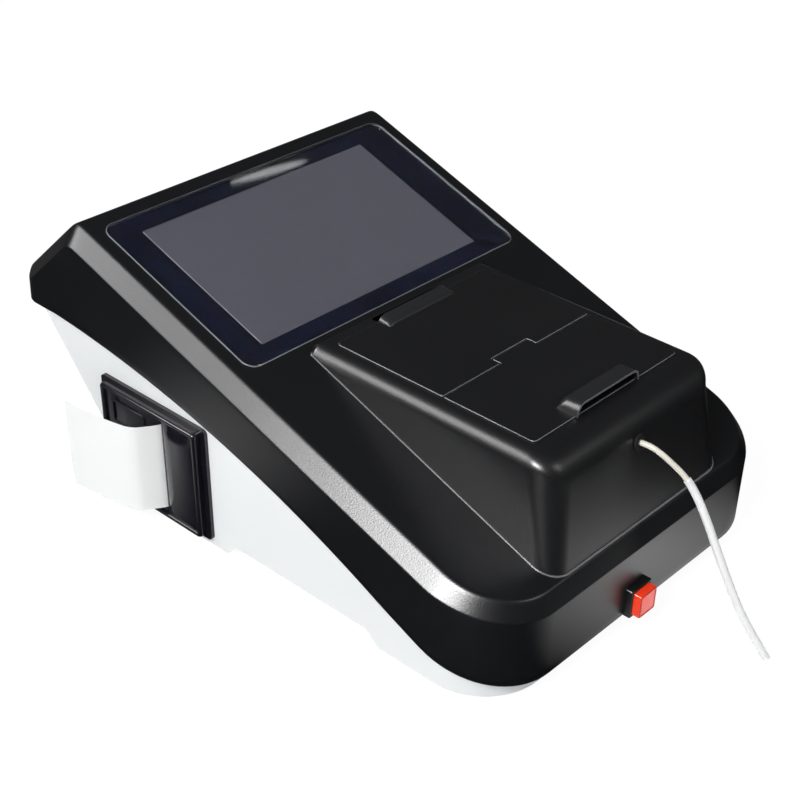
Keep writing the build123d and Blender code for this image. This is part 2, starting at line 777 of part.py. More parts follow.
# Pump rotor: shaft, hub, two discs and the roller pins
roller_height = pump_height - 4
motor_top = tray_floor - tray_wall
with BuildPart() as pump_rotor:
    with Locations((0, pump_y, pump_floor + 0.4)):
        Cylinder(16, 1.4, align=ON_FLOOR)
        Cylinder(6, pump_height - 0.6, align=ON_FLOOR)
    with Locations((0, pump_y, pump_floor + 2 + roller_height)):
        Cylinder(16, 1.8, align=ON_FLOOR)
    with Locations((0, pump_y, motor_top - 8)):
        Cylinder(2, pump_floor - motor_top + 12, align=ON_FLOOR)
    with Locations(Plane((0, pump_y, pump_floor + 1))):
        with PolarLocations(roller_ring, 3):
            Cylinder(1.5, roller_height + 2, align=ON_FLOOR)
pump_rotor.part.label = "pump_rotor"
export_step(pump_rotor.part, "parts/pump_rotor.step")

# Three rollers on the rotor's pins
with BuildPart() as pump_rollers:
    with Locations(Plane((0, pump_y, pump_floor + 1.9))):
        with PolarLocations(roller_ring, 3):
            Cylinder(roller_radius, roller_height, align=ON_FLOOR)
            Cylinder(1.6, roller_height, align=ON_FLOOR, mode=Mode.SUBTRACT)
pump_rollers.part.label = "pump_rollers"
export_step(pump_rollers.part, "parts/pump_rollers.step")

# Pump tube: round the track and forward to the divider
tube_level = pump_floor + pump_height / 2
with BuildPart() as pump_tube:
    with BuildLine(Plane.XY.offset(tube_level)) as pump_path:
        Line((-leg_x, divider_y[1]), (-leg_x, pump_y))
        ThreePointArc((-leg_x, pump_y), (0, pump_y + leg_x), (leg_x, pump_y))
        Line((leg_x, pump_y), (leg_x, divider_y[1]))
    with BuildSketch(Plane(origin=(-leg_x, divider_y[1], tube_level), z_dir=(0, 1, 0))):
        Circle(pump_tube_radius)
    sweep()
pump_tube.part.label = "pump_tube"
export_step(pump_tube.part, "parts/pump_tube.step")

# Gear motor under the tray
with BuildPart() as pump_motor:
    with Locations((0, pump_y, motor_top - 34)):
        Cylinder(16, 34, align=ON_FLOOR)
    with Locations((0, pump_y, motor_top - 38)):
        Cylinder(5, 4, align=ON_FLOOR)
    with Locations((0, pump_y, motor_top - 8.2)):
        Cylinder(2.1, 20, align=ON_FLOOR, mode=Mode.SUBTRACT)
pump_motor.part.label = "pump_motor"
export_step(pump_motor.part, "parts/pump_motor.step")

# Optics bench on four legs, under the front pocket. The legs stand on the flat of the front foot band.
bench_half = 78.0
bench_y = (-212.0, -158.0)
leg_radius = 4.0
legs_y = (bench_y[0] + 6, -174.0)
with BuildPart() as optics_bench:
    with Locations((0, (bench_y[0] + bench_y[1]) / 2, bench_top - bench_thickness)):
        Box(2 * bench_half, bench_y[1] - bench_y[0], bench_thickness, align=ON_FLOOR)
    with Locations(Plane((0, (legs_y[0] + legs_y[1]) / 2, floor_z))):
        with GridLocations(2 * bench_half - 14, legs_y[1] - legs_y[0], 2, 2):
            Cylinder(leg_radius, bench_top - bench_thickness - floor_z, align=ON_FLOOR)
optics_bench.part.label = "optics_bench"
export_step(optics_bench.part, "parts/optics_bench.step")

# Lamp house: an open-topped block with a light window towards the lens
lamp_x = -46.0
light_radius = 3.0
lamp_radius = 4.5
house_side = 24.0
with BuildPart() as lamp_house:
    with Locations((lamp_x, optic_y, bench_top)):
        Box(house_side, house_side, 36, align=ON_FLOOR)
    with Locations((lamp_x, optic_y, bench_top + 4)):
        Cylinder(9, 40, align=ON_FLOOR, mode=Mode.SUBTRACT)
    with Locations(Plane(origin=(lamp_x, optic_y, optic_z), z_dir=(1, 0, 0))):
        Cylinder(light_radius + 1, house_side, align=ON_FLOOR, mode=Mode.SUBTRACT)
lamp_house.part.label = "lamp_house"
export_step(lamp_house.part, "parts/lamp_house.step")

# Halogen lamp: a bulb with a round tip on a ceramic foot
with BuildPart() as halogen_lamp:
    with Locations((lamp_x, optic_y, bench_top + 4)):
        Cylinder(6, 6, align=ON_FLOOR)
        Cylinder(lamp_radius, 16, align=ON_FLOOR)
    with Locations((lamp_x, optic_y, bench_top + 20)):
        Sphere(lamp_radius)
halogen_lamp.part.label = "halogen_lamp"
export_step(halogen_lamp.part, "parts/halogen_lamp.step")

# Lens holder and its condenser lens
lens_x = -26.0
lens_radius = 8.0
lens_edge = 2.0
lens_bulge = 1.6
with BuildPart() as lens_holder:
    with Locations((lens_x, optic_y, bench_top)):
        Box(6, house_side, 30, align=ON_FLOOR)
    with Locations(Plane(origin=(lens_x, optic_y, optic_z), z_dir=(1, 0, 0))):
        Cylinder(lens_radius, 10, mode=Mode.SUBTRACT)
lens_holder.part.label = "lens_holder"
export_step(lens_holder.part, "parts/lens_holder.step")

with BuildPart() as condenser_lens:
    with Locations(Plane(origin=(lens_x, optic_y, optic_z), z_dir=(1, 0, 0))):
        Cylinder(lens_radius, lens_edge + 2 * lens_bulge)
    fillet(condenser_lens.edges().filter_by(GeomType.CIRCLE), radius=lens_bulge - 0.1)
condenser_lens.part.label = "condenser_lens"
export_step(condenser_lens.part, "parts/condenser_lens.step")

# Flow cell block, which comes up through the tray, and the flow cell inside it
with BuildPart() as flow_cell_block:
    with Locations((0, optic_y, bench_top)):
        Box(2 * block_half, block_depth, block_top - bench_top, align=ON_FLOOR)
    with Locations((0, optic_y, bench_top + 6)):
        Box(cell_side + 0.2, cell_side + 0.2, 60, align=ON_FLOOR, mode=Mode.SUBTRACT)
    with Locations(Plane(origin=(0, optic_y, optic_z), z_dir=(1, 0, 0))):
        Cylinder(light_radius, 60, mode=Mode.SUBTRACT)
flow_cell_block.part.label = "flow_cell_block"
export_step(flow_cell_block.part, "parts/flow_cell_block.step")

cell_cap_z = block_top + 2
with BuildPart() as flow_cell:
    with Locations((0, optic_y, bench_top + 6)):
        Box(cell_side, cell_side, cell_cap_z - bench_top - 6, align=ON_FLOOR)
    with Locations(Plane(origin=(0, optic_y, optic_z), z_dir=(1, 0, 0))):
        Cylinder(light_radius - 1, 7, mode=Mode.SUBTRACT)
flow_cell.part.label = "flow_cell"
export_step(flow_cell.part, "parts/flow_cell.step")

# Inner tube, from the grommet to the flow cell
inlet_bend = 12.0
grommet_depth = 3.4
tube_start = nose.origin - nose.z_dir * grommet_depth
tube_out = nose.origin + nose.z_dir * 5.4
inlet_start_y = tube_start.Y + 0.5
with BuildPart() as cell_inlet_tube:
    with BuildLine():
        FilletPolyline(
            (0, inlet_start_y, tube_start.Z),
            (0, optic_y, tube_start.Z),
            (0, optic_y, cell_cap_z),
            radius=inlet_bend,
        )
    with BuildSketch(Plane(origin=(0, inlet_start_y, tube_start.Z), z_dir=(0, 1, 0))):
        Circle(cell_inlet_radius)
    sweep()
cell_inlet_tube.part.label = "cell_inlet_tube"
export_step(cell_inlet_tube.part, "parts/cell_inlet_tube.step")

# Filter wheel on its shaft, with eight interference filters
wheel_x = 28.0
wheel_thickness = 3.0
wheel_radius = 16.0
filter_count = 8
filter_radius = 3.2
filter_ring = 11.0
wheel_axis_z = optic_z + filter_ring
wheel_plane = Plane(origin=(wheel_x, optic_y, wheel_axis_z), x_dir=(0, 0, -1), z_dir=(1, 0, 0))
plate_x = wheel_x + wheel_thickness + 2
with BuildPart() as filter_wheel:
    with BuildSketch(wheel_plane):
        Circle(wheel_radius)
        with PolarLocations(filter_ring, filter_count):
            Circle(filter_radius, mode=Mode.SUBTRACT)
    extrude(amount=wheel_thickness)
    with BuildSketch(wheel_plane):
        Circle(1.5)
    extrude(amount=plate_x - wheel_x + 4)
filter_wheel.part.label = "filter_wheel"
export_step(filter_wheel.part, "parts/filter_wheel.step")

with BuildPart() as interference_filters:
    with BuildSketch(wheel_plane):
        with PolarLocations(filter_ring, filter_count):
            Circle(filter_radius)
    extrude(amount=wheel_thickness)
interference_filters.part.label = "interference_filters"
export_step(interference_filters.part, "parts/interference_filters.step")

# Plate that carries the filter motor, with its light hole
with BuildPart() as filter_motor_plate:
    with Locations((plate_x + 0.75, optic_y, bench_top)):
        Box(1.5, 26, wheel_axis_z + 12 - bench_top, align=ON_FLOOR)
    with Locations((plate_x + 7, optic_y, bench_top)):
        Box(14, 26, 1.5, align=ON_FLOOR)
    with Locations(Plane(origin=(plate_x, optic_y, optic_z), z_dir=(1, 0, 0))):
        Cylinder(light_radius, 6, mode=Mode.SUBTRACT)
    with Locations(Plane(origin=(plate_x, optic_y, wheel_axis_z), z_dir=(1, 0, 0))):
        Cylinder(1.6, 6, mode=Mode.SUBTRACT)
filter_motor_plate.part.label = "filter_motor_plate"
export_step(filter_motor_plate.part, "parts/filter_motor_plate.step")

with BuildPart() as filter_motor:
    with BuildSketch(wheel_plane.offset(plate_x + 1.5 - wheel_x)):
        Circle(7.5)
    extrude(amount=14)
    with BuildSketch(wheel_plane.offset(plate_x + 1.5 - wheel_x)):
        Circle(1.6)
    extrude(amount=3, mode=Mode.SUBTRACT)
filter_motor.part.label = "filter_motor"
export_step(filter_motor.part, "parts/filter_motor.step")

# Detector board, standing on the bench at the end of the light path
detector_x = bench_half - 22
with BuildPart() as detector_board:
    with Locations((detector_x + board_thickness / 2, optic_y, bench_top)):
        Box(board_thickness, 36, 38, align=ON_FLOOR)
    with Locations((detector_x + 6, optic_y, bench_top)):
        Box(9, 12, 5, align=ON_FLOOR)
    with Locations(Plane(origin=(detector_x - 3, optic_y, optic_z), z_dir=(1, 0, 0))):
        Cylinder(4, 3, align=ON_FLOOR)
detector_board.part.label = "detector_board"
export_step(detector_board.part, "parts/detector_board.step")

# Button bezel in the front wall: a square frame with a sleeve
sleeve_depth = 12.0
switch_depth = 9.0
cap_room = cap_side + 2 * button_clearance
cap_back = front_y + sleeve_depth - button_travel - 0.5
with BuildPart() as power_button_bezel:
    with BuildSketch(Plane.XZ.offset(-front_y)):
        with Locations((button_x, button_z)):
            RectangleRounded(bezel_side, bezel_side, 1.2)
            Rectangle(cap_room, cap_room, mode=Mode.SUBTRACT)
    extrude(amount=bezel_proud)
    with BuildSketch(Plane.XZ.offset(-front_y)):
        with Locations((button_x, button_z)):
            Rectangle(sleeve_side, sleeve_side)
            Rectangle(cap_room, cap_room, mode=Mode.SUBTRACT)
    extrude(amount=-sleeve_depth)
    fillet(power_button_bezel.faces().sort_by(Axis.Y)[0].outer_wire().edges(), radius=0.8)
power_button_bezel.part.label = "power_button_bezel"
export_step(power_button_bezel.part, "parts/power_button_bezel.step")

# Red push button: a square cap with a stem to the switch
with BuildPart() as power_button:
    with BuildSketch(Plane.XZ.offset(-front_y + bezel_proud + cap_reach)):
        with Locations((button_x, button_z)):
            RectangleRounded(cap_side, cap_side, 1)
    extrude(amount=-(cap_reach + bezel_proud + cap_back - front_y))
    fillet(power_button.faces().sort_by(Axis.Y)[0].edges(), radius=0.6)
power_button.part.label = "power_button"
export_step(power_button.part, "parts/power_button.step")

# Switch behind the button, closing the sleeve
with BuildPart() as button_switch:
    with BuildSketch(Plane.XZ.offset(-front_y - sleeve_depth)):
        with Locations((button_x, button_z)):
            Rectangle(sleeve_side, sleeve_side)
    extrude(amount=-switch_depth)
    with BuildSketch(Plane.XZ.offset(-front_y - sleeve_depth - switch_depth)):
        with Locations((button_x - 5, button_z), (button_x + 5, button_z)):
            Rectangle(0.8, 3)
    extrude(amount=-5)
button_switch.part.label = "button_switch"
export_step(button_switch.part, "parts/button_switch.step")

# Rubber grommet in the hood's nose
grommet_proud = 1.6
with BuildPart() as tube_grommet:
    with BuildSketch(nose):
        Circle(5)
        Circle(tube_radius, mode=Mode.SUBTRACT)
    extrude(amount=grommet_proud)
    with BuildSketch(nose):
        Circle(grommet_radius)
        Circle(tube_radius, mode=Mode.SUBTRACT)
    extrude(amount=-grommet_depth)
tube_grommet.part.label = "tube_grommet"
export_step(tube_grommet.part, "parts/tube_grommet.step")

# Sipper tube: out of the grommet, down past the front wall and forward to the bench
tube_route = [
    (tube_start.X, tube_start.Y, tube_start.Z),
    (tube_out.X, tube_out.Y, tube_out.Z),
    (2.2, -244.6, 103.6),
    (6.6, -251.2, 96.8),
    (11.4, -256.6, 89.4),
    (13.2, -263.6, 80.0),
    (12.4, -272.2, 68.4),
    (11.6, -279.4, 57.2),
    (11.4, -286.4, 46.0),
    (11.0, -293.8, 34.6),
    (11.6, -302.0, 22.4),
    (13.6, -310.8, 10.6),
    (15.0, -317.4, 2.2),
]
route_radii = []
for before, corner, after in zip(tube_route, tube_route[1:], tube_route[2:]):
    run_in = Vector(*corner) - Vector(*before)
    run_out = Vector(*after) - Vector(*corner)
    half_turn_angle = radians(run_in.get_angle(run_out)) / 2
    route_radii.append(0.45 * min(run_in.length, run_out.length) / tan(half_turn_angle))
with BuildPart() as sipper_tube:
    with BuildLine() as tube_path:
        FilletPolyline(*tube_route, radius=route_radii)
    with BuildSketch(Plane(origin=tube_route[0], z_dir=tube_path.line % 0)):
        Circle(tube_radius)
    sweep()
sipper_tube.part.label = "sipper_tube"
export_step(sipper_tube.part, "parts/sipper_tube.step")
tube_length = tube_path.wires()[0].length
print("Sipper tube radii", [round(radius, 1) for radius in route_radii])
print("Sipper tube length", round(tube_length, 2), "volume", round(sipper_tube.part.volume, 1))
print("Section times length", round(3.14159265 * tube_radius**2 * tube_length, 1))

# Printer frame: flange, raised rim, side panel and paper chamber behind the wall
face_middle = (face_low + face_high) / 2
face_length = face_high - face_low
hinge_x = -38.6
hinge_depth = 3.4
panel_front = 34.0
panel_edge = slot_x + 0.8
roll_x = -16.0
roll_depth = 24.0
paper_low = face_low + (face_length - paper_width) / 2
with BuildPart() as printer_frame:
    with BuildSketch(left_wall):
        with Locations(((printer_front - printer_rear) / 2, printer_low + printer_height / 2)):
            RectangleRounded(printer_front + printer_rear, printer_height, 3)
    extrude(amount=flange_thickness)
    with BuildSketch(left_wall):
        with Locations(((36 - 43.5) / 2, face_middle)):
            RectangleRounded(36 + 43.5, face_length + 4, 3)
    extrude(amount=face_height + 0.3)
    with BuildSketch(left_wall.offset(-chamber_back)):
        with Locations(((chamber_front - chamber_rear) / 2, face_middle)):
            Rectangle(chamber_front + chamber_rear + 2 * chamber_wall, face_length + 2 * chamber_wall)
    extrude(amount=chamber_back)
    with BuildSketch(left_wall.offset(-chamber_back + chamber_wall)):
        with Locations(((chamber_front - chamber_rear) / 2, face_middle)):
            Rectangle(chamber_front + chamber_rear, face_length)
    extrude(amount=chamber_back - chamber_wall, mode=Mode.SUBTRACT)
    with BuildSketch(left_wall):
        with Locations(((panel_edge - chamber_rear) / 2, face_middle)):
            Rectangle(panel_edge + chamber_rear, face_length)
    extrude(amount=30, mode=Mode.SUBTRACT)
    for panel_y in (face_low, face_high):
        with BuildSketch(left_wall):
            with Locations(((panel_edge + panel_front) / 2, panel_y)):
                Rectangle(panel_front - panel_edge, 1.6)
        extrude(amount=30, mode=Mode.SUBTRACT)
    # Spindle for the roll, standing on the chamber's floor
    with Locations(left_wall):
        with Locations((roll_x, face_low - chamber_wall, -roll_depth)):
            Cylinder(9, chamber_wall + paper_low - face_low - 0.3, rotation=(-90, 0, 0), align=ON_FLOOR)
            Cylinder(5.7, chamber_wall + 40, rotation=(-90, 0, 0), align=ON_FLOOR)
    with Locations(left_wall):
        with Locations((hinge_x, face_middle, hinge_depth)):
            Cylinder(1, face_length + 3, rotation=(90, 0, 0), mode=Mode.SUBTRACT)
printer_frame.part.label = "printer_frame"
export_step(printer_frame.part, "parts/printer_frame.step")

# Printer door, hinged on a pin along its rear edge, with arms for the platen roller
door_gap = 0.5
platen_x = slot_x - 0.3 - platen_radius
platen_depth = -2.0
arm_thickness = 2.0
with BuildPart() as printer_door:
    with BuildSketch(left_wall.offset(flange_thickness + 0.2)):
        with Locations(((-40 + slot_x - 0.9) / 2, face_middle)):
            Rectangle(40 + slot_x - 0.9, face_length - 2 * door_gap)
    extrude(amount=face_height - flange_thickness - 0.5)
    for arm_y in (face_low + door_gap, face_high - door_gap - arm_thickness):
        with BuildSketch(left_wall.offset(platen_depth - 2.4)):
            with Locations((platen_x, arm_y)):
                Rectangle(6, arm_thickness, align=(Align.CENTER, Align.MIN))
        extrude(amount=flange_thickness + 1 - platen_depth + 2.4)
    with Locations(left_wall):
        with Locations((hinge_x, face_middle, hinge_depth)):
            Cylinder(1 + pin_clearance, face_length, rotation=(90, 0, 0), mode=Mode.SUBTRACT)
        with Locations((platen_x, face_middle, platen_depth)):
            Cylinder(1.25, face_length, rotation=(90, 0, 0), mode=Mode.SUBTRACT)
printer_door.part.label = "printer_door"
export_step(printer_door.part, "parts/printer_door.step")

with BuildPart() as printer_door_pin:
    with Locations(left_wall):
        with Locations((hinge_x, face_middle, hinge_depth)):
            Cylinder(1, face_length + 3, rotation=(90, 0, 0))
printer_door_pin.part.label = "printer_door_pin"
export_step(printer_door_pin.part, "parts/printer_door_pin.step")

# Platen roller: rubber drum on a steel shaft, carried by the door's arms
with BuildPart() as platen_roller:
    with Locations(left_wall):
        with Locations((platen_x, face_middle, platen_depth)):
            Cylinder(platen_radius, face_length - 8, rotation=(90, 0, 0))
            Cylinder(1.2, face_length - 2 * door_gap, rotation=(90, 0, 0))
platen_roller.part.label = "platen_roller"
export_step(platen_roller.part, "parts/platen_roller.step")

# Print head on the chamber's front wall
head_face = slot_x + 0.6
with BuildPart() as print_head:
    with BuildSketch(left_wall.offset(-9)):
        with Locations(((head_face + chamber_front) / 2, face_middle)):
            Rectangle(chamber_front - head_face, paper_width + 4)
    extrude(amount=8.8)
print_head.part.label = "print_head"
export_step(print_head.part, "parts/print_head.step")

# Paper roll on its spindle
with BuildPart() as paper_roll:
    with Locations(left_wall):
        with Locations((roll_x, paper_low + paper_width / 2, -roll_depth)):
            Cylinder(roll_radius, paper_width, rotation=(90, 0, 0))
            Cylinder(6, paper_width, rotation=(90, 0, 0), mode=Mode.SUBTRACT)
paper_roll.part.label = "paper_roll"
export_step(paper_roll.part, "parts/paper_roll.step")

# Paper strip, out of the slot and back over the door
paper_thickness = 0.3
strip_points = [
    (slot_x, -1.5),
    (slot_x - 0.1, 4.5),
    (2.2, 12.0),
    (-3.0, 18.6),
    (-14.0, 21.4),
    (-33.0, 24.8),
    (-50.0, 26.0),
]
strip_plane = Plane(
    origin=left_wall.from_local_coords(Vector(0, paper_low, 0)),
    x_dir=left_wall.x_dir,
    z_dir=-left_wall.y_dir,
)
with BuildPart() as paper_strip:
    with BuildSketch(strip_plane):
        with BuildLine():
            FilletPolyline(*strip_points, radius=[4, 12, 9, 40, 60])
        trace(line_width=paper_thickness)
    extrude(amount=-paper_width)
paper_strip.part.label = "paper_strip"
export_step(paper_strip.part, "parts/paper_strip.step")

# Fan behind the grille in the stern wall
fan_depth = base_wall
with BuildPart() as fan_frame:
    with BuildSketch(stern.offset(fan_depth)):
        RectangleRounded(fan_side, fan_side, 3)
        Circle(fan_hole_radius, mode=Mode.SUBTRACT)
    extrude(amount=10)
    with BuildSketch(stern.offset(fan_depth + 8.5)):
        Circle(9)
        Rectangle(2.5, fan_side - 2)
        Rectangle(fan_side - 2, 2.5)
    extrude(amount=1.5)
    with BuildSketch(stern.offset(fan_depth + 3)):
        Circle(1.5)
    extrude(amount=6)
fan_frame.part.label = "fan_frame"
export_step(fan_frame.part, "parts/fan_frame.step")

with BuildPart() as fan_rotor:
    with BuildSketch(stern.offset(fan_depth + 1.2)):
        Circle(8.5)
    extrude(amount=7)
    with BuildSketch(stern.offset(fan_depth + 2)):
        with PolarLocations(12.5, 7):
            Rectangle(9.6, 6)
    extrude(amount=5.4)
    with BuildSketch(stern.offset(fan_depth + 2.4)):
        Circle(1.55)
    extrude(amount=8, mode=Mode.SUBTRACT)
fan_rotor.part.label = "fan_rotor"
export_step(fan_rotor.part, "parts/fan_rotor.step")

# Power board on the base's four posts
power_z = floor_z + standoff_height
with BuildPart() as power_board:
    with Locations((power_board_at[0], power_board_at[1], power_z)):
        Box(power_board_size[0], power_board_size[1], board_thickness, align=ON_FLOOR)
    with Locations((power_board_at[0] + 14, power_board_at[1] - 8, power_z + board_thickness)):
        Box(30, 26, 22, align=ON_FLOOR)
    with Locations(
        (power_board_at[0] - 24, power_board_at[1] - 14, power_z + board_thickness),
        (power_board_at[0] - 24, power_board_at[1] + 4, power_z + board_thickness),
    ):
        Cylinder(6, 20, align=ON_FLOOR)
power_board.part.label = "power_board"
export_step(power_board.part, "parts/power_board.step")

# Sockets in the lower rear wall
rear_inner = stern_foot_y - base_wall
with BuildPart() as dc_inlet:
    with BuildSketch(Plane.XZ.offset(-stern_foot_y - 1)):
        with Locations((inlet_x, socket_z)):
            Circle(5.4)
            Circle(3.2, mode=Mode.SUBTRACT)
    extrude(amount=base_wall + 9)
    with BuildSketch(Plane.XZ.offset(-rear_inner + 8)):
        with Locations((inlet_x, socket_z)):
            Circle(5.4)
    extrude(amount=2)
    with BuildSketch(Plane.XZ.offset(-stern_foot_y + 1)):
        with Locations((inlet_x, socket_z)):
            Circle(1)
    extrude(amount=base_wall + 8.6)
    with BuildSketch(Plane.XZ.offset(-stern_foot_y - 1.5)):
        with Locations((inlet_x, socket_z)):
            Circle(7)
            Circle(3.2, mode=Mode.SUBTRACT)
    extrude(amount=1.5)
dc_inlet.part.label = "dc_inlet"
export_step(dc_inlet.part, "parts/dc_inlet.step")

rocker_radius = 7.0
rocker_width = 12.0
rocker_tilt = 8.0
rocker_axis_y = stern_foot_y - 2.5
with BuildPart() as power_switch_body:
    with BuildSketch(Plane.XZ.offset(-stern_foot_y)):
        with Locations((rocker_x, socket_z)):
            Rectangle(21, 15)
    extrude(amount=15)
    with BuildSketch(Plane.XZ.offset(-stern_foot_y - 1.5)):
        with Locations((rocker_x, socket_z)):
            RectangleRounded(24, 18, 1.5)
    extrude(amount=1.5)
    with Locations(Plane(origin=(rocker_x, rocker_axis_y, socket_z), z_dir=(1, 0, 0))):
        Cylinder(rocker_radius + 0.3, rocker_width + 0.6, mode=Mode.SUBTRACT)
power_switch_body.part.label = "power_switch_body"
export_step(power_switch_body.part, "parts/power_switch_body.step")

# Rocker: a round drum cut to two faces that meet at its axis
with BuildPart() as power_rocker:
    with BuildSketch(Plane(origin=(rocker_x, rocker_axis_y, socket_z), x_dir=(0, 1, 0), z_dir=(1, 0, 0))):
        with BuildLine():
            ThreePointArc(
                (rocker_radius * sin(radians(45)), rocker_radius * cos(radians(45))),
                (-rocker_radius, 0),
                (rocker_radius * sin(radians(45)), -rocker_radius * cos(radians(45))),
            )
            Polyline(
                (rocker_radius * sin(radians(45)), -rocker_radius * cos(radians(45))),
                (rocker_radius * sin(radians(45)) - 1, 0),
                (rocker_radius * sin(radians(45)), rocker_radius * cos(radians(45))),
            )
        make_face()
    extrude(amount=rocker_width / 2, both=True)
power_rocker.part.label = "power_rocker"
export_step(power_rocker.part, "parts/power_rocker.step")

with BuildPart() as usb_ports:
    with BuildSketch(Plane.XZ.offset(-stern_foot_y)):
        with Locations((usb_x, socket_z)):
            Rectangle(13.4, 15)
    extrude(amount=17)
    with BuildSketch(Plane.XZ.offset(-stern_foot_y)):
        with Locations((usb_x, socket_z - 3.6), (usb_x, socket_z + 3.6)):
            Rectangle(11.8, 4.6)
    extrude(amount=9, mode=Mode.SUBTRACT)
    with BuildSketch(Plane.XZ.offset(-stern_foot_y)):
        with Locations((usb_x, socket_z - 2.8), (usb_x, socket_z + 4.4)):
            Rectangle(9, 1.6)
    extrude(amount=10)
usb_ports.part.label = "usb_ports"
export_step(usb_ports.part, "parts/usb_ports.step")

with BuildPart() as serial_port:
    with BuildSketch(Plane.XZ.offset(-stern_foot_y)):
        with Locations((serial_x, socket_z)):
            Rectangle(25, 11)
    extrude(amount=12)
    with BuildSketch(Plane.XZ.offset(-stern_foot_y - 1)):
        with Locations((serial_x, socket_z)):
            RectangleRounded(31, 12.5, 1.5)
    extrude(amount=1)
    with BuildSketch(Plane.XZ.offset(-stern_foot_y - 5)):
        with Locations((serial_x, socket_z)):
            RectangleRounded(17, 8.4, 3)
    extrude(amount=5)
    with BuildSketch(Plane.XZ.offset(-stern_foot_y - 5)):
        with Locations((serial_x, socket_z)):
            RectangleRounded(16, 7.4, 2.5)
    extrude(amount=5, mode=Mode.SUBTRACT)
serial_port.part.label = "serial_port"
export_step(serial_port.part, "parts/serial_port.step")
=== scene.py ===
import bmesh
import bpy
import numpy as np
from mathutils import Matrix, Quaternion, Vector
from mathutils.geometry import tessellate_polygon


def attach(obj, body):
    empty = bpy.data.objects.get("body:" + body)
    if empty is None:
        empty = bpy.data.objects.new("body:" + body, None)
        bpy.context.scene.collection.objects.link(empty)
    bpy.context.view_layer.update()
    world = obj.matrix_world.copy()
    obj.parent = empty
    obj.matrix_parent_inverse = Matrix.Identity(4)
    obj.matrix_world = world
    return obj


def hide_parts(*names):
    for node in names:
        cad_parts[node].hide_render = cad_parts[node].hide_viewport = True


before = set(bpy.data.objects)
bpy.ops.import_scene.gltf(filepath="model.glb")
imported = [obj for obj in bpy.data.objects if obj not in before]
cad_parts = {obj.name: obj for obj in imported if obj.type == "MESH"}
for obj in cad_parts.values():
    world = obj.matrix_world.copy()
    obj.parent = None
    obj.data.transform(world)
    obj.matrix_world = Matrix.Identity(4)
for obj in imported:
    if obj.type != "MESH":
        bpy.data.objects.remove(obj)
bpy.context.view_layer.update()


# Camera: stands off the front left corner of the bench and looks down on the analyzer.
# Its place and turn were solved from the housing's straight edges in the photograph.
camera_place = Vector((-0.61175, -0.59958, 0.56576))
camera_yaw = np.radians(49.08)
camera_pitch = np.radians(32.1)
camera_roll = np.radians(2.34)
ahead = Vector((
    np.sin(camera_yaw) * np.cos(camera_pitch),
    np.cos(camera_yaw) * np.cos(camera_pitch),
    -np.sin(camera_pitch),
))
level_right = Vector((np.cos(camera_yaw), -np.sin(camera_yaw), 0.0))
level_up = level_right.cross(ahead)
right = level_right * float(np.cos(camera_roll)) + level_up * float(np.sin(camera_roll))
up = level_up * float(np.cos(camera_roll)) - level_right * float(np.sin(camera_roll))
camera = bpy.data.objects.new("camera", bpy.data.cameras.new("camera"))
camera.data.lens = 73.61
camera.data.sensor_width = 36.0
camera.data.clip_end = 20.0
camera.matrix_world = Matrix((
    (right.x, up.x, -ahead.x, camera_place.x),
    (right.y, up.y, -ahead.y, camera_place.y),
    (right.z, up.z, -ahead.z, camera_place.z),
    (0.0, 0.0, 0.0, 1.0),
))
bpy.context.scene.collection.objects.link(camera)
bpy.context.scene.camera = camera


# Bench and light: a white bench top that stays white to the camera but keeps a soft shadow, in an even pale
# room. Soft boxes high on the left draw the bright rim, weaker ones fill the front and the right, and a
# small one leaves the streak on the glass. Dim pools of light on the bench show only in mirrored rays.
def shader_of(name):
    """A new material with its Principled shader and its node tree."""
    material = bpy.data.materials.new(name)
    material.use_nodes = True
    return material, material.node_tree.nodes["Principled BSDF"], material.node_tree


def add_node(tree, kind, **settings):
    """A new shader node of that kind with constants on its sockets: To_Min stands for To Min."""
    node = tree.nodes.new("ShaderNode" + kind)
    for name, value in settings.items():
        node.inputs[name.replace("_", " ")].default_value = value
    return node


def soft_box(name, place, wide, tall, power, aim, shows="both", turn=0.0):
    """A rectangular area light at place that faces aim, turned about that line by turn degrees.

    Shows picks matt light, mirrored light or both.
    """
    lamp = bpy.data.lights.new(name, "AREA")
    lamp.shape = "RECTANGLE"
    lamp.size = wide
    lamp.size_y = tall
    lamp.energy = power
    lamp_object = bpy.data.objects.new(name, lamp)
    lamp_object.location = place
    lamp_object.visible_diffuse = shows != "mirrored"
    lamp_object.visible_glossy = shows != "matt"
    facing = Vector(aim) - Vector(place)
    facing_turn = facing.to_track_quat("-Z", "Y") @ Quaternion((0.0, 0.0, 1.0), float(np.radians(turn)))
    lamp_object.rotation_euler = facing_turn.to_euler()
    bpy.context.scene.collection.objects.link(lamp_object)


bpy.context.scene.view_settings.view_transform = "Standard"
middle = (0.0, -0.08, 0.08)
soft_box("left_box", (-1.45, -0.58, 1.38), 1.20, 0.50, 125.0, middle, "mirrored")
soft_box("left_fill", (-1.58, -0.26, 1.38), 0.95, 0.50, 31.0, middle, "matt")
soft_box("shoulder_box", (-1.35, 1.00, 1.25), 0.60, 1.30, 34.0, middle, "mirrored")
soft_box("front_box", (0.75, -1.55, 1.05), 0.45, 0.25, 4.0, middle)
soft_box("right_box", (1.7, 0.5, 0.5), 0.9, 0.6, 7.0, middle, "matt")
glass_streak = (0.011, 0.0515, 0.1597)
soft_box("window_box", (0.9563, 0.4573, 1.2514), 0.12, 0.010, 0.008, glass_streak, "mirrored", 54.0)
bpy.data.lights["window_box"].shape = "ELLIPSE"

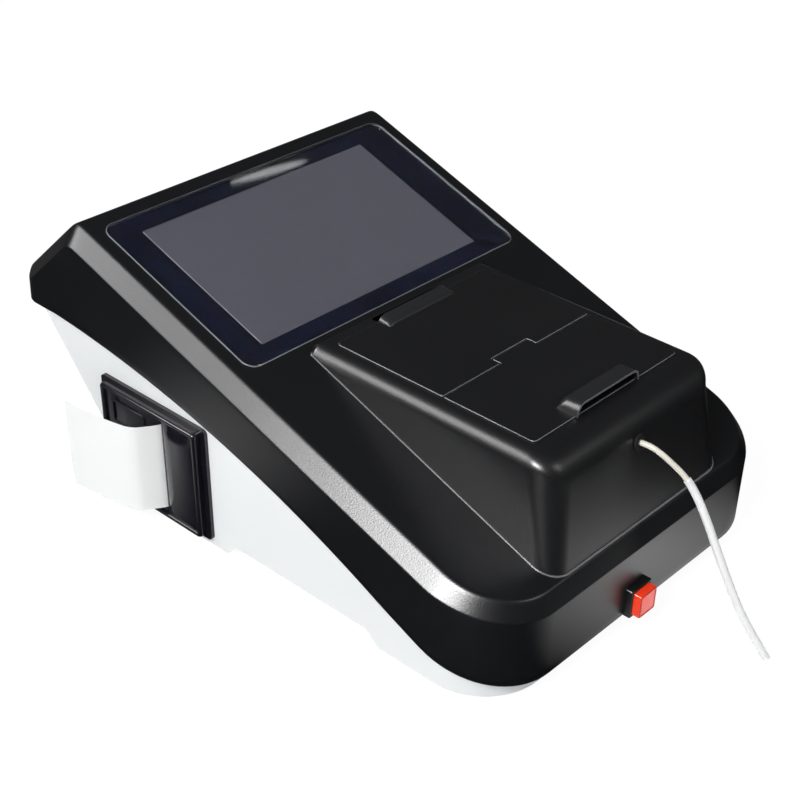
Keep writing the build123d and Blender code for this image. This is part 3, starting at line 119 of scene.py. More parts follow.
room = bpy.data.worlds.new("room")
room.use_nodes = True
room_nodes = room.node_tree.nodes
room_links = room.node_tree.links
room_nodes["Background"].inputs["Color"].default_value = (0.93, 0.96, 1.0, 1.0)
room_nodes["Background"].inputs["Strength"].default_value = 0.38
room_path = add_node(room.node_tree, "LightPath")
room_dim = add_node(room.node_tree, "Background", Strength=0.05)
room_white = add_node(room.node_tree, "Background", Strength=1.0)
room_gloss_mix = add_node(room.node_tree, "MixShader")
room_links.new(room_path.outputs["Is Glossy Ray"], room_gloss_mix.inputs[0])
room_links.new(room_nodes["Background"].outputs[0], room_gloss_mix.inputs[1])
room_links.new(room_dim.outputs[0], room_gloss_mix.inputs[2])
room_mix = add_node(room.node_tree, "MixShader")
room_links.new(room_path.outputs["Is Camera Ray"], room_mix.inputs[0])
room_links.new(room_gloss_mix.outputs[0], room_mix.inputs[1])
room_links.new(room_white.outputs[0], room_mix.inputs[2])
room_links.new(room_mix.outputs[0], room_nodes["World Output"].inputs["Surface"])
bpy.context.scene.world = room

bench_half = 6.0
bench_z = -0.0002
bench_mesh = bpy.data.meshes.new("bench_top")
bench_mesh.from_pydata(
    [(-bench_half, -bench_half, bench_z), (bench_half, -bench_half, bench_z),
     (bench_half, bench_half, bench_z), (-bench_half, bench_half, bench_z)],
    [],
    [(0, 1, 2, 3)],
)
bench_top = bpy.data.objects.new("bench_top", bench_mesh)
bpy.context.scene.collection.objects.link(bench_top)
bench_white, bench_shader, bench_tree = shader_of("bench_white")
bench_shader.inputs["Base Color"].default_value = (0.86, 0.86, 0.86, 1.0)
bench_shader.inputs["Roughness"].default_value = 0.9
bench_path = add_node(bench_tree, "LightPath")
bench_place = add_node(bench_tree, "TexCoord")
pool_values = []
for pool_middle, pool_radius, pool_strength in [
    ((0.04, -0.30), 0.12, 1.9),
    ((0.45, 0.35), 0.62, 0.9),
    ((-0.33, -0.34), 0.13, 2.4),
    ((-0.20, 0.05), 0.10, 1.1),
]:
    pool_shift = add_node(
        bench_tree,
        "Mapping",
        Location=(-pool_middle[0] / pool_radius, -pool_middle[1] / pool_radius, 0.0),
        Scale=(1 / pool_radius, 1 / pool_radius, 1 / pool_radius),
    )
    pool = add_node(bench_tree, "TexGradient")
    pool.gradient_type = "SPHERICAL"
    pool_level = add_node(bench_tree, "Math")
    pool_level.operation = "MULTIPLY"
    pool_level.inputs[1].default_value = pool_strength
    bench_tree.links.new(bench_place.outputs["Object"], pool_shift.inputs["Vector"])
    bench_tree.links.new(pool_shift.outputs["Vector"], pool.inputs["Vector"])
    bench_tree.links.new(pool.outputs["Fac"], pool_level.inputs[0])
    pool_values.append(pool_level)
pool_sum = pool_values[0]
for pool_level in pool_values[1:]:
    pool_total = add_node(bench_tree, "Math")
    bench_tree.links.new(pool_sum.outputs[0], pool_total.inputs[0])
    bench_tree.links.new(pool_level.outputs[0], pool_total.inputs[1])
    pool_sum = pool_total
mirror_glow = add_node(bench_tree, "Emission")
bench_tree.links.new(pool_sum.outputs[0], mirror_glow.inputs["Strength"])
mirror_mix = add_node(bench_tree, "MixShader")
bench_tree.links.new(bench_path.outputs["Is Glossy Ray"], mirror_mix.inputs[0])
bench_tree.links.new(bench_shader.outputs[0], mirror_mix.inputs[1])
bench_tree.links.new(mirror_glow.outputs[0], mirror_mix.inputs[2])
bench_glow = add_node(bench_tree, "Emission", Strength=1.08)
bench_share = add_node(bench_tree, "Math")
bench_share.operation = "MULTIPLY"
bench_share.inputs[1].default_value = 0.86
bench_mix = add_node(bench_tree, "MixShader")
bench_tree.links.new(bench_path.outputs["Is Camera Ray"], bench_share.inputs[0])
bench_tree.links.new(bench_share.outputs[0], bench_mix.inputs[0])
bench_tree.links.new(mirror_mix.outputs[0], bench_mix.inputs[1])
bench_tree.links.new(bench_glow.outputs[0], bench_mix.inputs[2])
bench_tree.links.new(bench_mix.outputs[0], bench_tree.nodes["Material Output"].inputs["Surface"])
bench_mesh.materials.append(bench_white)


# Sipper tube: a cream plastic tube that leaves the hood's nose through a rubber grommet and runs into a
# wider white sleeve. It hangs forward over the front wall, and its bare end comes down to the bench.
def grain_material(name, colour, roughness, grain_size, grain_depth, drift=0.08, bump_strength=0.3):
    """A moulded or extruded finish: fine noise bump for the grain, slow noise that drifts tone and gloss."""
    material, shader, tree = shader_of(name)
    place = add_node(tree, "TexCoord")
    grain = add_node(tree, "TexNoise", Scale=1.0 / grain_size, Detail=3.0)
    slow = add_node(tree, "TexNoise", Scale=17.0, Detail=3.0)
    tree.links.new(place.outputs["Object"], grain.inputs["Vector"])
    tree.links.new(place.outputs["Object"], slow.inputs["Vector"])
    bump = add_node(tree, "Bump", Strength=bump_strength, Distance=grain_depth)
    tree.links.new(grain.outputs["Fac"], bump.inputs["Height"])
    tree.links.new(bump.outputs["Normal"], shader.inputs["Normal"])
    tone = add_node(tree, "Mix")
    tone.data_type = "RGBA"
    tone.inputs["A"].default_value = (*[c * (1 - drift) for c in colour], 1.0)
    tone.inputs["B"].default_value = (*[min(1.0, c * (1 + drift)) for c in colour], 1.0)
    tree.links.new(slow.outputs["Fac"], tone.inputs["Factor"])
    tree.links.new(tone.outputs["Result"], shader.inputs["Base Color"])
    gloss = add_node(tree, "MapRange", To_Min=roughness - 0.04, To_Max=roughness + 0.04)
    tree.links.new(slow.outputs["Fac"], gloss.inputs["Value"])
    tree.links.new(gloss.outputs["Result"], shader.inputs["Roughness"])
    return material


def set_socket(material, name, value):
    """Sets a constant on the material's own shader."""
    material.node_tree.nodes["Principled BSDF"].inputs[name].default_value = value


def finish_piece(piece, material, body, replaces=()):
    """Gives a piece its material and body, and hides the CAD nodes that it stands for."""
    piece.data.materials.clear()
    piece.data.materials.append(material)
    bpy.context.scene.collection.objects.link(piece)
    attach(piece, body)
    if replaces:
        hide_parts(*replaces)


def surface(name, points, faces, material, body, slot, replaces=(), sharp_angle=35.0, wall=0.0):
    """A smooth, welded mesh piece with edges sharper than sharp_angle left crisp.

    A wall gives an open skin its thickness inwards.
    """
    mesh = bpy.data.meshes.new(name)
    mesh.from_pydata(np.asarray(points, dtype=float).tolist(), [], [[int(i) for i in face] for face in faces])
    weld = bmesh.new()
    weld.from_mesh(mesh)
    bmesh.ops.remove_doubles(weld, verts=weld.verts, dist=2e-6)
    weld.to_mesh(mesh)
    weld.free()
    piece = bpy.data.objects.new(name, mesh)
    finish_piece(piece, material, body, replaces)
    if wall:
        thickness = piece.modifiers.new("wall", "SOLIDIFY")
        thickness.thickness = wall
        thickness.offset = -1.0
        graph = bpy.context.evaluated_depsgraph_get()
        mesh = bpy.data.meshes.new_from_object(piece.evaluated_get(graph))
        piece.modifiers.clear()
        piece.data = mesh
    mesh.polygons.foreach_set("use_smooth", np.ones(len(mesh.polygons), dtype=bool))
    mesh.set_sharp_from_angle(angle=np.radians(sharp_angle))
    return piece


def ring_faces(ring_count, ring_length, wraps=False):
    """Quads between neighbouring closed rings; wraps joins the last ring to the first."""
    ring, step = np.meshgrid(
        np.arange(ring_count if wraps else ring_count - 1), np.arange(ring_length), indexing="ij"
    )
    after = (ring + 1) % ring_count
    following = (step + 1) % ring_length
    return np.stack([
        ring * ring_length + step,
        ring * ring_length + following,
        after * ring_length + following,
        after * ring_length + step,
    ], -1).reshape(-1, 4).tolist()


def capped(rings):
    """A closed form out of rings that run up it, with a flat face at each end."""
    rings = np.asarray(rings)
    ring_count, ring_length = rings.shape[:2]
    last = (ring_count - 1) * ring_length
    ends = [list(range(ring_length))[::-1], list(range(last, last + ring_length))]
    return rings.reshape(-1, 3), ring_faces(ring_count, ring_length) + ends


def hoop(rings):
    """A closed form out of rings whose last one runs back to the first."""
    rings = np.asarray(rings)
    ring_count, ring_length = rings.shape[:2]
    return rings.reshape(-1, 3), ring_faces(ring_count, ring_length, wraps=True)


def turned(profile, centre, across, along, around):
    """Rings of a turned form: centre + r * (cos t * across + sin t * along) + h * (across x along)."""
    turn = np.linspace(0.0, 2 * np.pi, around, endpoint=False)[None, :, None]
    radius, height = np.asarray(profile, dtype=float).T
    across = np.asarray(across, dtype=float)
    along = np.asarray(along, dtype=float)
    spoke = np.cos(turn) * across + np.sin(turn) * along
    axle = np.cross(across, along)
    return np.asarray(centre) + radius[:, None, None] * spoke + height[:, None, None] * axle


tube_route = np.array([
    (0.0, -0.22937, 0.10503), (0.0, -0.23804, 0.10651), (0.0022, -0.2446, 0.1036),
    (0.0066, -0.2512, 0.0968), (0.0114, -0.2566, 0.0894), (0.0132, -0.2636, 0.0800),
    (0.0124, -0.2722, 0.0684), (0.0116, -0.2794, 0.0572), (0.0114, -0.2864, 0.0460),
    (0.0110, -0.2938, 0.0346), (0.0116, -0.3020, 0.0224), (0.0136, -0.3108, 0.0106),
    (0.0150, -0.3174, 0.0022),
])
tube_line = bpy.data.curves.new("sipper_line", "CURVE")
tube_line.dimensions = "3D"
tube_line.resolution_u = 14
tube_spline = tube_line.splines.new("NURBS")
tube_spline.points.add(len(tube_route) - 1)
tube_spline.points.foreach_set("co", np.column_stack([tube_route, np.ones(len(tube_route))]).ravel())
narrow = 0.78
narrow_end = 4
widening = np.clip(np.arange(len(tube_route)) - float(narrow_end), 0.0, 1.0)
tube_spline.points.foreach_set("radius", narrow + (1.0 - narrow) * widening)
tube_spline.order_u = 3
tube_spline.use_endpoint_u = True
line_object = bpy.data.objects.new("sipper_line", tube_line)
line_mesh = bpy.data.meshes.new_from_object(line_object)
line_points = np.zeros(3 * len(line_mesh.vertices))
line_mesh.vertices.foreach_get("co", line_points)
line_points = line_points.reshape(-1, 3)
bpy.data.objects.remove(line_object)
tube_line.bevel_depth = 0.002
tube_line.bevel_resolution = 7
tube_line.use_fill_caps = True
sipper = bpy.data.objects.new("sipper", tube_line)
cream_tube = grain_material("cream_tube", (0.82, 0.78, 0.67), 0.3, 0.002, 0.00005)
finish_piece(sipper, cream_tube, "housing", ["sipper_tube"])

# The sleeve: rings round the tube's own line, with a square lip at its start and a drilled end
run = np.concatenate([[0.0], np.cumsum(np.linalg.norm(np.diff(line_points, axis=0), axis=1))])
sleeve_radius = 0.00225
sleeve_start = 0.0375
sleeve_end = run[-1]
sleeve_steps = 60
lip_bore = 0.0016
end_bore = 0.0013
sleeve_run = np.concatenate([
    [sleeve_start, sleeve_start, sleeve_start + 0.0002],
    np.linspace(sleeve_start + 0.001, sleeve_end - 0.0006, sleeve_steps),
    [sleeve_end - 0.0002, sleeve_end, sleeve_end],
])
sleeve_radii = np.concatenate([
    [lip_bore, sleeve_radius - 0.0002, sleeve_radius],
    np.full(sleeve_steps, sleeve_radius),
    [sleeve_radius, sleeve_radius - 0.0003, end_bore],
])
sleeve_centres = np.column_stack([np.interp(sleeve_run, run, line_points[:, axis]) for axis in range(3)])
tangents = np.gradient(line_points, axis=0)
tangents = np.column_stack([np.interp(sleeve_run, run, tangents[:, axis]) for axis in range(3)])
tangents /= np.linalg.norm(tangents, axis=1)[:, None]
sides = np.cross(tangents, np.array([1.0, 0.0, 0.0]))
sides /= np.linalg.norm(sides, axis=1)[:, None]
overs = np.cross(tangents, sides)
turns = np.linspace(0.0, 2 * np.pi, 28, endpoint=False)[None, :, None]
sleeve_rings = sleeve_centres[:, None] + sleeve_radii[:, None, None] * (
    np.cos(turns) * sides[:, None] + np.sin(turns) * overs[:, None]
)
white_sleeve = grain_material("white_sleeve", (0.84, 0.84, 0.83), 0.32, 0.003, 0.00004, 0.02)
sleeve = surface("sipper_sleeve", *capped(sleeve_rings), white_sleeve, "housing", "white_tube")

# Grommet: a turned rubber bush with a rounded flange, pressed into the hood's leaning front wall
nose_out = np.array([0.0, -0.98564, 0.16886])
nose_across = np.array([-1.0, 0.0, 0.0])
nose_along = np.cross(nose_out, nose_across)
nose_centre = np.array([0.0, -0.23272, 0.1056])
grommet_profile = np.array([
    (2.0, -3.4), (3.6, -3.4), (3.6, 0.05), (4.7, 0.05), (5.0, 0.35), (5.0, 0.8), (4.6, 1.3), (3.9, 1.6),
    (2.9, 1.6), (2.3, 1.35), (2.0, 0.9),
]) * 0.001
grommet_around = 48
grommet_rings = turned(grommet_profile, nose_centre, nose_across, nose_along, grommet_around)
black_rubber = grain_material("black_rubber", (0.006, 0.006, 0.0065), 0.7, 0.0012, 0.00006)
set_socket(black_rubber, "Specular IOR Level", 0.15)
surface("grommet", *hoop(grommet_rings), black_rubber, "housing", "rubber", ["tube_grommet"])


# Top cover: one black textured moulding, a wedge with a screen slope, a bevel behind it, a 45 degree rim
# and a lower edge that sweeps down to the front. Its wall is 3 mm, open under the glass and the hood.
def rounded_outline(corners, radii, steps=8):
    """Closed outline, counter-clockwise, with its corners rounded: points and outward normals, each (n, 2).

    Round a corner the normal turns evenly from one side's to the next one's, and the point is
    centre + radius * normal, or centre - radius * normal at an inner corner. Radius 0 marks a plain point.
    """
    corners = np.asarray(corners, dtype=float)
    coming = corners - np.roll(corners, 1, axis=0)
    coming /= np.linalg.norm(coming, axis=1)[:, None]
    going = np.roll(coming, -1, axis=0)
    points = []
    normals = []
    for corner, before, after, radius in zip(corners, coming, going, radii):
        start = np.arctan2(-before[0], before[1])
        turn = np.arctan2(before[0] * after[1] - before[1] * after[0], before @ after)
        middle = np.array([np.cos(start + turn / 2), np.sin(start + turn / 2)])
        if radius == 0:
            points.append(corner[None])
            normals.append(middle[None] / np.cos(turn / 2))
            continue
        bend = radius * np.sign(turn)
        angles = start + turn * np.linspace(0.0, 1.0, steps)
        arc = np.column_stack([np.cos(angles), np.sin(angles)])
        points.append(corner - bend * middle / np.cos(turn / 2) + bend * arc)
        normals.append(arc)
    return np.concatenate(points), np.concatenate(normals)


def rectangle(low, high):
    """Corners of a rectangle, counter-clockwise from its high corner."""
    return [(high[0], high[1]), (low[0], high[1]), (low[0], low[1]), (high[0], low[1])]


def filled(outer, holes, facing):
    """Triangles that fill a flat outline round its holes, with their normals along facing."""
    loops = [outer, *holes]
    points = np.concatenate(loops)
    faces = [list(face) for face in tessellate_polygon([[Vector(point) for point in loop] for loop in loops])]
    first, second, third = points[np.array(faces)].transpose(1, 0, 2)
    total = np.cross(second - first, third - first).sum(0)
    if total @ np.asarray(facing, dtype=float) < 0:
        faces = [face[::-1] for face in faces]
    return points, faces


def band(lower, upper):
    """Quads between two closed loops of equal length: outwards where a counter-clockwise loop runs up."""
    return np.concatenate([lower, upper]), ring_faces(2, len(lower))


def joined(parts):
    """One list of points and faces out of several (points, faces) pairs."""
    starts = np.cumsum([0] + [len(points) for points, _ in parts])
    points = np.concatenate([np.asarray(points, dtype=float) for points, _ in parts])
    faces = [
        [int(i) + int(start) for i in face]
        for (_, faces), start in zip(parts, starts)
        for face in faces
    ]
    return points, faces


def grid_faces(rows, columns, flipped=False):
    """Quads of an open grid of points that are numbered row by row."""
    row, column = np.meshgrid(np.arange(rows - 1), np.arange(columns - 1), indexing="ij")
    start = (row * columns + column).ravel()
    faces = np.stack([start, start + columns, start + columns + 1, start + 1], -1)
    return (faces[:, ::-1] if flipped else faces).tolist()


def lifted(flat, height):
    """Flat points with a height, one for all or one for each."""
    return np.column_stack([flat, np.broadcast_to(height, len(flat))])


cover_half = 0.1281
cover_front = -0.2470
cover_rear = 0.1140
ridge_y = 0.0681
ridge_z = 0.1654
slope = np.radians(18.83)
bevel = np.arctan2(ridge_z - 0.1215, cover_rear - ridge_y)
rim_half = 0.1191
rim_reach = 0.3274
rim_corner = 0.038
rim_inset = 0.013
edge_radius = 0.0018
edge_softness = 0.0005
ridge_softness = 0.0022


def slope_height(y):
    """Height of the screen slope: ridge_z - (ridge_y - y) * tan(slope)."""
    return ridge_z - (ridge_y - y) * np.tan(slope)


def cover_height(x, y):
    """Height of the cover's top: the slope and the bevel, each less its 45 degree rim, joined softly.

    Outside the top outline by g, the slope's rim lies g below it, measured square to it. g is the
    distance from a rounded rectangle whose reach runs down the slope, so it is found in a few rounds.
    """
    height = slope_height(y)
    for _ in range(10):
        reach = (ridge_y - y) * np.cos(slope) + (ridge_z - height) * np.sin(slope)
        beside = np.abs(x) - (rim_half - rim_corner)
        beyond = reach - (rim_reach - rim_corner)
        gap = np.hypot(np.maximum(beside, 0), np.maximum(beyond, 0))
        gap = gap + np.minimum(np.maximum(beside, beyond), 0) - rim_corner
        height = slope_height(y) - edge_softness * np.logaddexp(0.0, gap / edge_softness) / np.cos(slope)
    bevel_gap = edge_softness * np.logaddexp(0.0, (np.abs(x) - rim_half) / edge_softness)
    bevel_height = ridge_z - (y - ridge_y) * np.tan(bevel) - bevel_gap / np.cos(bevel)
    return -ridge_softness * np.logaddexp(-height / ridge_softness, -bevel_height / ridge_softness)


def circle_through(first, second, third):
    """Centre and radius of the circle through three points of a plane."""
    first, second, third = np.array([first, second, third])
    centre = np.linalg.solve(
        2 * np.array([second - first, third - first]),
        np.array([second @ second - first @ first, third @ third - first @ first]),
    )
    return centre, np.linalg.norm(first - centre)


part_knee = (0.083, 0.1045)
part_low = (-0.167, 0.0403)
part_nose = (-0.262, 0.0045)
belly_centre, belly_radius = circle_through(part_knee, (-0.040, 0.0852), part_low)
nose_chord = np.array(part_nose) - np.array(part_low)
nose_inward = (np.array(part_low) - belly_centre) / belly_radius
nose_radius = (nose_chord @ nose_chord) / (2 * nose_chord @ nose_inward)
nose_middle = np.array(part_low) + nose_radius * nose_inward


def parting_height(y):
    """Height of the line where cover and base part: level, then two arcs that run on into each other."""
    belly = belly_centre[1] + np.sqrt(np.maximum(belly_radius**2 - (y - belly_centre[0])**2, 0))
    reach = np.sqrt(np.maximum(nose_radius**2 - (y - nose_middle[0])**2, 0))
    nose = nose_middle[1] - np.sign(nose_radius) * reach
    return np.where(y > part_knee[0], part_knee[1], np.where(y > part_low[0], belly, nose))


front_corner = 0.047
rear_corner = 0.014
ridge_strip = 0.012
leeway = 0.0001
side_rows = np.unique(np.round(np.concatenate([
    np.linspace(cover_front + front_corner + 0.002, cover_rear - rear_corner - 0.002, 46),
    ridge_y + np.linspace(-ridge_strip, ridge_strip, 25),
]), 6))
cover_corners = [(cover_half, cover_rear), (-cover_half, cover_rear)]
cover_corners += [(-cover_half, y) for y in side_rows[::-1]]
cover_corners += [(-cover_half, cover_front), (cover_half, cover_front)]
cover_corners += [(cover_half, y) for y in side_rows]
no_radii = [0.0] * len(side_rows)
cover_radii = [rear_corner, rear_corner, *no_radii, front_corner, front_corner, *no_radii]
plan, plan_normal = rounded_outline(cover_corners, cover_radii, 20)
plan_count = len(plan)


def cover_ring(inset):
    """The cover's top surface over its plan outline moved inwards by inset."""
    flat = plan - plan_normal * np.reshape(inset, (-1, 1))
    return lifted(flat, cover_height(flat[:, 0], flat[:, 1]))


rim_top = cover_ring(np.zeros(plan_count))[:, 2]
rim_probe = 0.002
rim_rise = (cover_ring(np.full(plan_count, rim_probe))[:, 2] - rim_top) / rim_probe
rim_turn = np.pi / 2 - np.arctan(rim_rise)
wall_top = rim_top - edge_radius * np.tan(rim_turn / 2)
lower_edge = parting_height(plan[:, 1])
edge_break = 0.0006
cover_rings = [
    lifted(plan - plan_normal * edge_break, lower_edge),
    lifted(plan - plan_normal * edge_break / 3, lower_edge + edge_break / 3),
    lifted(plan, lower_edge + edge_break),
]
for share in np.linspace(0.0, 1.0, 10)[1:]:
    cover_rings.append(lifted(plan, lower_edge + edge_break + (wall_top - lower_edge - edge_break) * share))
for share in np.linspace(0.0, 1.0, 7)[1:]:
    turn = rim_turn * share
    flat = plan - plan_normal * (edge_radius * (1 - np.cos(turn)))[:, None]
    cover_rings.append(lifted(flat, wall_top + edge_radius * np.sin(turn)))
arc_end = edge_radius * (1 - np.cos(rim_turn))
for share in np.linspace(0.0, 1.0, 30)[1:]:
    cover_rings.append(cover_ring(arc_end + (rim_inset - arc_end) * share))

# The top is closed in three parts: strips over the soft ridge, the bevel, and the slope round its openings
top_ring = cover_rings[-1]
on_ridge = np.abs(plan[:, 1] - ridge_y) < ridge_strip + leeway
left_ridge = np.flatnonzero(on_ridge & (plan_normal[:, 0] < -0.5))
right_ridge = np.flatnonzero(on_ridge & (plan_normal[:, 0] > 0.5))
left_ridge = left_ridge[np.argsort(plan[left_ridge, 1])]
right_ridge = right_ridge[np.argsort(plan[right_ridge, 1])]
ridge_count = len(left_ridge)
strips = (np.concatenate([top_ring[left_ridge], top_ring[right_ridge]]), grid_faces(2, ridge_count))
rear_loop = np.flatnonzero(plan[:, 1] >= ridge_y + ridge_strip - leeway)
rear_loop = rear_loop[np.argsort((rear_loop - right_ridge[-1]) % plan_count)]
front_loop = np.flatnonzero(plan[:, 1] <= ridge_y - ridge_strip + leeway)
front_loop = front_loop[np.argsort((front_loop - left_ridge[0]) % plan_count)]
glass_middle = 0.0738
glass_half = np.array([0.1110, 0.0630])


def on_slope(flat, depth):
    """Points on the screen slope: across it, down it from the ridge, and depth below it."""
    across, down = np.asarray(flat, dtype=float).T
    return np.column_stack([
        across,
        ridge_y - down * np.cos(slope) + depth * np.sin(slope),
        ridge_z - down * np.sin(slope) - depth * np.cos(slope),
    ])


def slope_outline(half, radius, steps=10):
    """Rounded rectangle round the screen's middle, as (across, down) points in the order that faces up."""
    points, normals = rounded_outline(rectangle(-half, half), [radius] * 4, steps)
    return points[::-1] + np.array([0.0, glass_middle]), normals[::-1]


seat_flat, _ = slope_outline(glass_half + 0.0002, 0.0082)
seat_top = on_slope(seat_flat, 0.0)
seat_depth = 0.0012
seat_floor = on_slope(seat_flat, seat_depth)
window_flat, _ = slope_outline(np.array([0.1025, 0.0570]), 0.002, 4)
window_top = on_slope(window_flat, seat_depth)
bay_flat, _ = rounded_outline(rectangle((-0.060, -0.212), (0.060, -0.076)), [0.002] * 4, 4)
bay_loop = lifted(bay_flat, slope_height(bay_flat[:, 1]))
slope_up = (0.0, -np.sin(slope), np.cos(slope))

# The wall is worked out with the skin: the same rings 3 mm further in, closed at every edge
cover_wall = 0.003
inner_flat = plan - plan_normal * cover_wall
inner_rings = [lifted(inner_flat, lower_edge)]
inner_shoulder = cover_ring(np.full(plan_count, cover_wall))[:, 2] - 1.6 * cover_wall
for share in np.linspace(0.0, 1.0, 6)[1:]:
    inner_rings.append(lifted(inner_flat, lower_edge + (inner_shoulder - lower_edge) * share))
for share in np.linspace(0.0, 1.0, 14)[1:]:
    flat = plan - plan_normal * (cover_wall + rim_inset * share)
    inner_rings.append(lifted(flat, cover_height(flat[:, 0], flat[:, 1]) - cover_wall * (1.6 - 0.45 * share)))
under_ring = inner_rings[-1]
slope_under = under_ring[front_loop]
window_under = on_slope(window_flat, 0.0036)
bay_under = lifted(bay_flat, slope_height(bay_flat[:, 1]) - 0.0034)
cover_parts = [
    (np.concatenate(cover_rings), ring_faces(len(cover_rings), plan_count)),
    strips,
    (top_ring[rear_loop], [list(range(len(rear_loop)))]),
    filled(top_ring[front_loop], [seat_top, bay_loop], slope_up),
    band(seat_top, seat_floor),
    filled(seat_floor, [window_top], slope_up),
    band(window_top, window_under),
    band(bay_loop, bay_under),
    (np.concatenate(inner_rings[::-1]), ring_faces(len(inner_rings), plan_count)),
    (np.concatenate([under_ring[left_ridge], under_ring[right_ridge]]), grid_faces(2, ridge_count, True)),
    (under_ring[rear_loop], [list(range(len(rear_loop)))[::-1]]),
    filled(slope_under, [window_under, bay_under], (0.0, np.sin(slope), -np.cos(slope))),
    band(inner_rings[0], cover_rings[0]),
]
black_cover = grain_material("black_cover", (0.0062, 0.0066, 0.0080), 0.33, 0.0009, 0.00018)
surface("cover_shell", *joined(cover_parts), black_cover, "housing", "black_cover", ["top_cover"])


# Screen: a glass plate with a printed black border, let into the cover, over a dim grey display panel.
# The glass has a ground edge, and the display's metal frame shows as a thin line down its left side.
def plate(flat, normals, profile, place):
    """Rings of an outline carried through (inset, height) pairs, each put in space by place(flat, height)."""
    return np.array([place(flat - normals * inset, height) for inset, height in profile])


def raised_on_slope(flat, height):
    """Points above the screen slope."""
    return on_slope(flat, -height)


glass_flat, glass_out = slope_outline(glass_half, 0.008, 12)
pane_profile = [(0.0004, -0.00096), (0.0004, 0.00045), (0.0006, 0.0006)]
glass_rings = plate(glass_flat, glass_out, pane_profile, raised_on_slope)
clear_glass, glass_shader, glass_tree = shader_of("clear_glass")
glass_shader.inputs["Base Color"].default_value = (0.94, 0.96, 0.98, 1.0)
glass_shader.inputs["Transmission Weight"].default_value = 1.0
glass_shader.inputs["IOR"].default_value = 1.03
glass_shader.inputs["Coat Weight"].default_value = 1.0
glass_shader.inputs["Coat Roughness"].default_value = 0.03
glass_shader.inputs["Coat IOR"].default_value = 1.5
glass_place = add_node(glass_tree, "TexCoord")
glass_smear = add_node(glass_tree, "TexNoise", Scale=9.0, Detail=2.0)
glass_gloss = add_node(glass_tree, "MapRange", To_Min=0.01, To_Max=0.06)
glass_tree.links.new(glass_place.outputs["Object"], glass_smear.inputs["Vector"])
glass_tree.links.new(glass_smear.outputs["Fac"], glass_gloss.inputs["Value"])
glass_tree.links.new(glass_gloss.outputs["Result"], glass_shader.inputs["Roughness"])
surface("glass_pane", *capped(glass_rings), clear_glass, "housing", "screen_glass", ["screen_glass"])

ground_edge = grain_material("ground_edge", (0.20, 0.21, 0.22), 0.25, 0.0006, 0.00003)
edge_profile = [(0.00035, -0.00115), (0.0, -0.00115), (0.0, 0.00035), (0.00035, 0.0006)]
edge_rings = plate(glass_flat, glass_out, edge_profile, raised_on_slope)
surface("glass_edge", *hoop(edge_rings), ground_edge, "housing", "screen_glass")

active_half = np.array([0.0885, 0.05065])
active_shift = np.array([-0.0027, 0.0])
mask_flat, _ = slope_outline(glass_half - 0.0005, 0.0075, 12)
mask_hole, _ = slope_outline(active_half, 0.0006, 4)
mask_hole = mask_hole + active_shift
printed_black = grain_material("printed_black", (0.0035, 0.0045, 0.0090), 0.22, 0.0008, 0.00002)
set_socket(printed_black, "Specular IOR Level", 0.08)
mask_depth = 0.00100
mask_back_depth = 0.00117
mask_front = on_slope(mask_flat, mask_depth)
mask_back = on_slope(mask_flat, mask_back_depth)
hole_front = on_slope(mask_hole, mask_depth)
hole_back = on_slope(mask_hole, mask_back_depth)
surface(
    "printed_border",
    *joined([
        filled(mask_front, [hole_front], slope_up),
        filled(mask_back, [hole_back], (0.0, np.sin(slope), -np.cos(slope))),
        band(mask_back, mask_front),
        band(hole_front, hole_back),
    ]),
    printed_black,
    "housing",
    "screen_glass",
)
line_flat = np.array([(-0.0912, 0.1235), (-0.0907, 0.1235), (-0.0907, 0.0242), (-0.0912, 0.0242)])
line_rings = [on_slope(line_flat, 0.00099), on_slope(line_flat, 0.00097)]
panel_frame = grain_material("panel_frame", (0.42, 0.42, 0.43), 0.3, 0.0008, 0.00002)
surface("panel_frame_line", *capped(line_rings), panel_frame, "housing", "steel")

lit_panel, panel_shader, panel_tree = shader_of("lit_panel")
panel_shader.inputs["Base Color"].default_value = (0.010, 0.010, 0.013, 1.0)
panel_shader.inputs["Roughness"].default_value = 0.4
panel_shader.inputs["Specular IOR Level"].default_value = 0.1
panel_place = add_node(panel_tree, "TexCoord")
panel_drift = add_node(panel_tree, "TexNoise", Scale=5.0, Detail=1.0)
panel_tone = add_node(panel_tree, "Mix")
panel_tone.data_type = "RGBA"
panel_tone.inputs["A"].default_value = (0.080, 0.078, 0.094, 1.0)
panel_tone.inputs["B"].default_value = (0.090, 0.088, 0.106, 1.0)
panel_tree.links.new(panel_place.outputs["Object"], panel_drift.inputs["Vector"])
panel_tree.links.new(panel_drift.outputs["Fac"], panel_tone.inputs["Factor"])
panel_tree.links.new(panel_tone.outputs["Result"], panel_shader.inputs["Emission Color"])
panel_shader.inputs["Emission Strength"].default_value = 1.0


def wear_material(node_name, material):
    """Gives a CAD node a finished material in place of its plain one."""
    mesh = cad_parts[node_name].data
    mesh.materials.clear()
    mesh.materials.append(material)


wear_material("display_module", lit_panel)


# Hood: the raised black moulding over the two bays. Its sides lean out by the mould draft and its front
# by more, its top edges are rounded wider at the front, and a recess in its roof takes the two lids.
hood_top = 0.1238
hood_half = 0.07294
hood_rear = -0.0685
hood_front = -0.2296
hood_draft = np.radians(3.5)
hood_lean = np.arctan2(0.0109, 0.0636)
hood_sink = 0.0003
hood_corner = 0.017
roof_corner = 0.0052
back_corner = 0.0015
foot_half = 0.0767
foot_front = -0.2405
foot_corner = 0.013


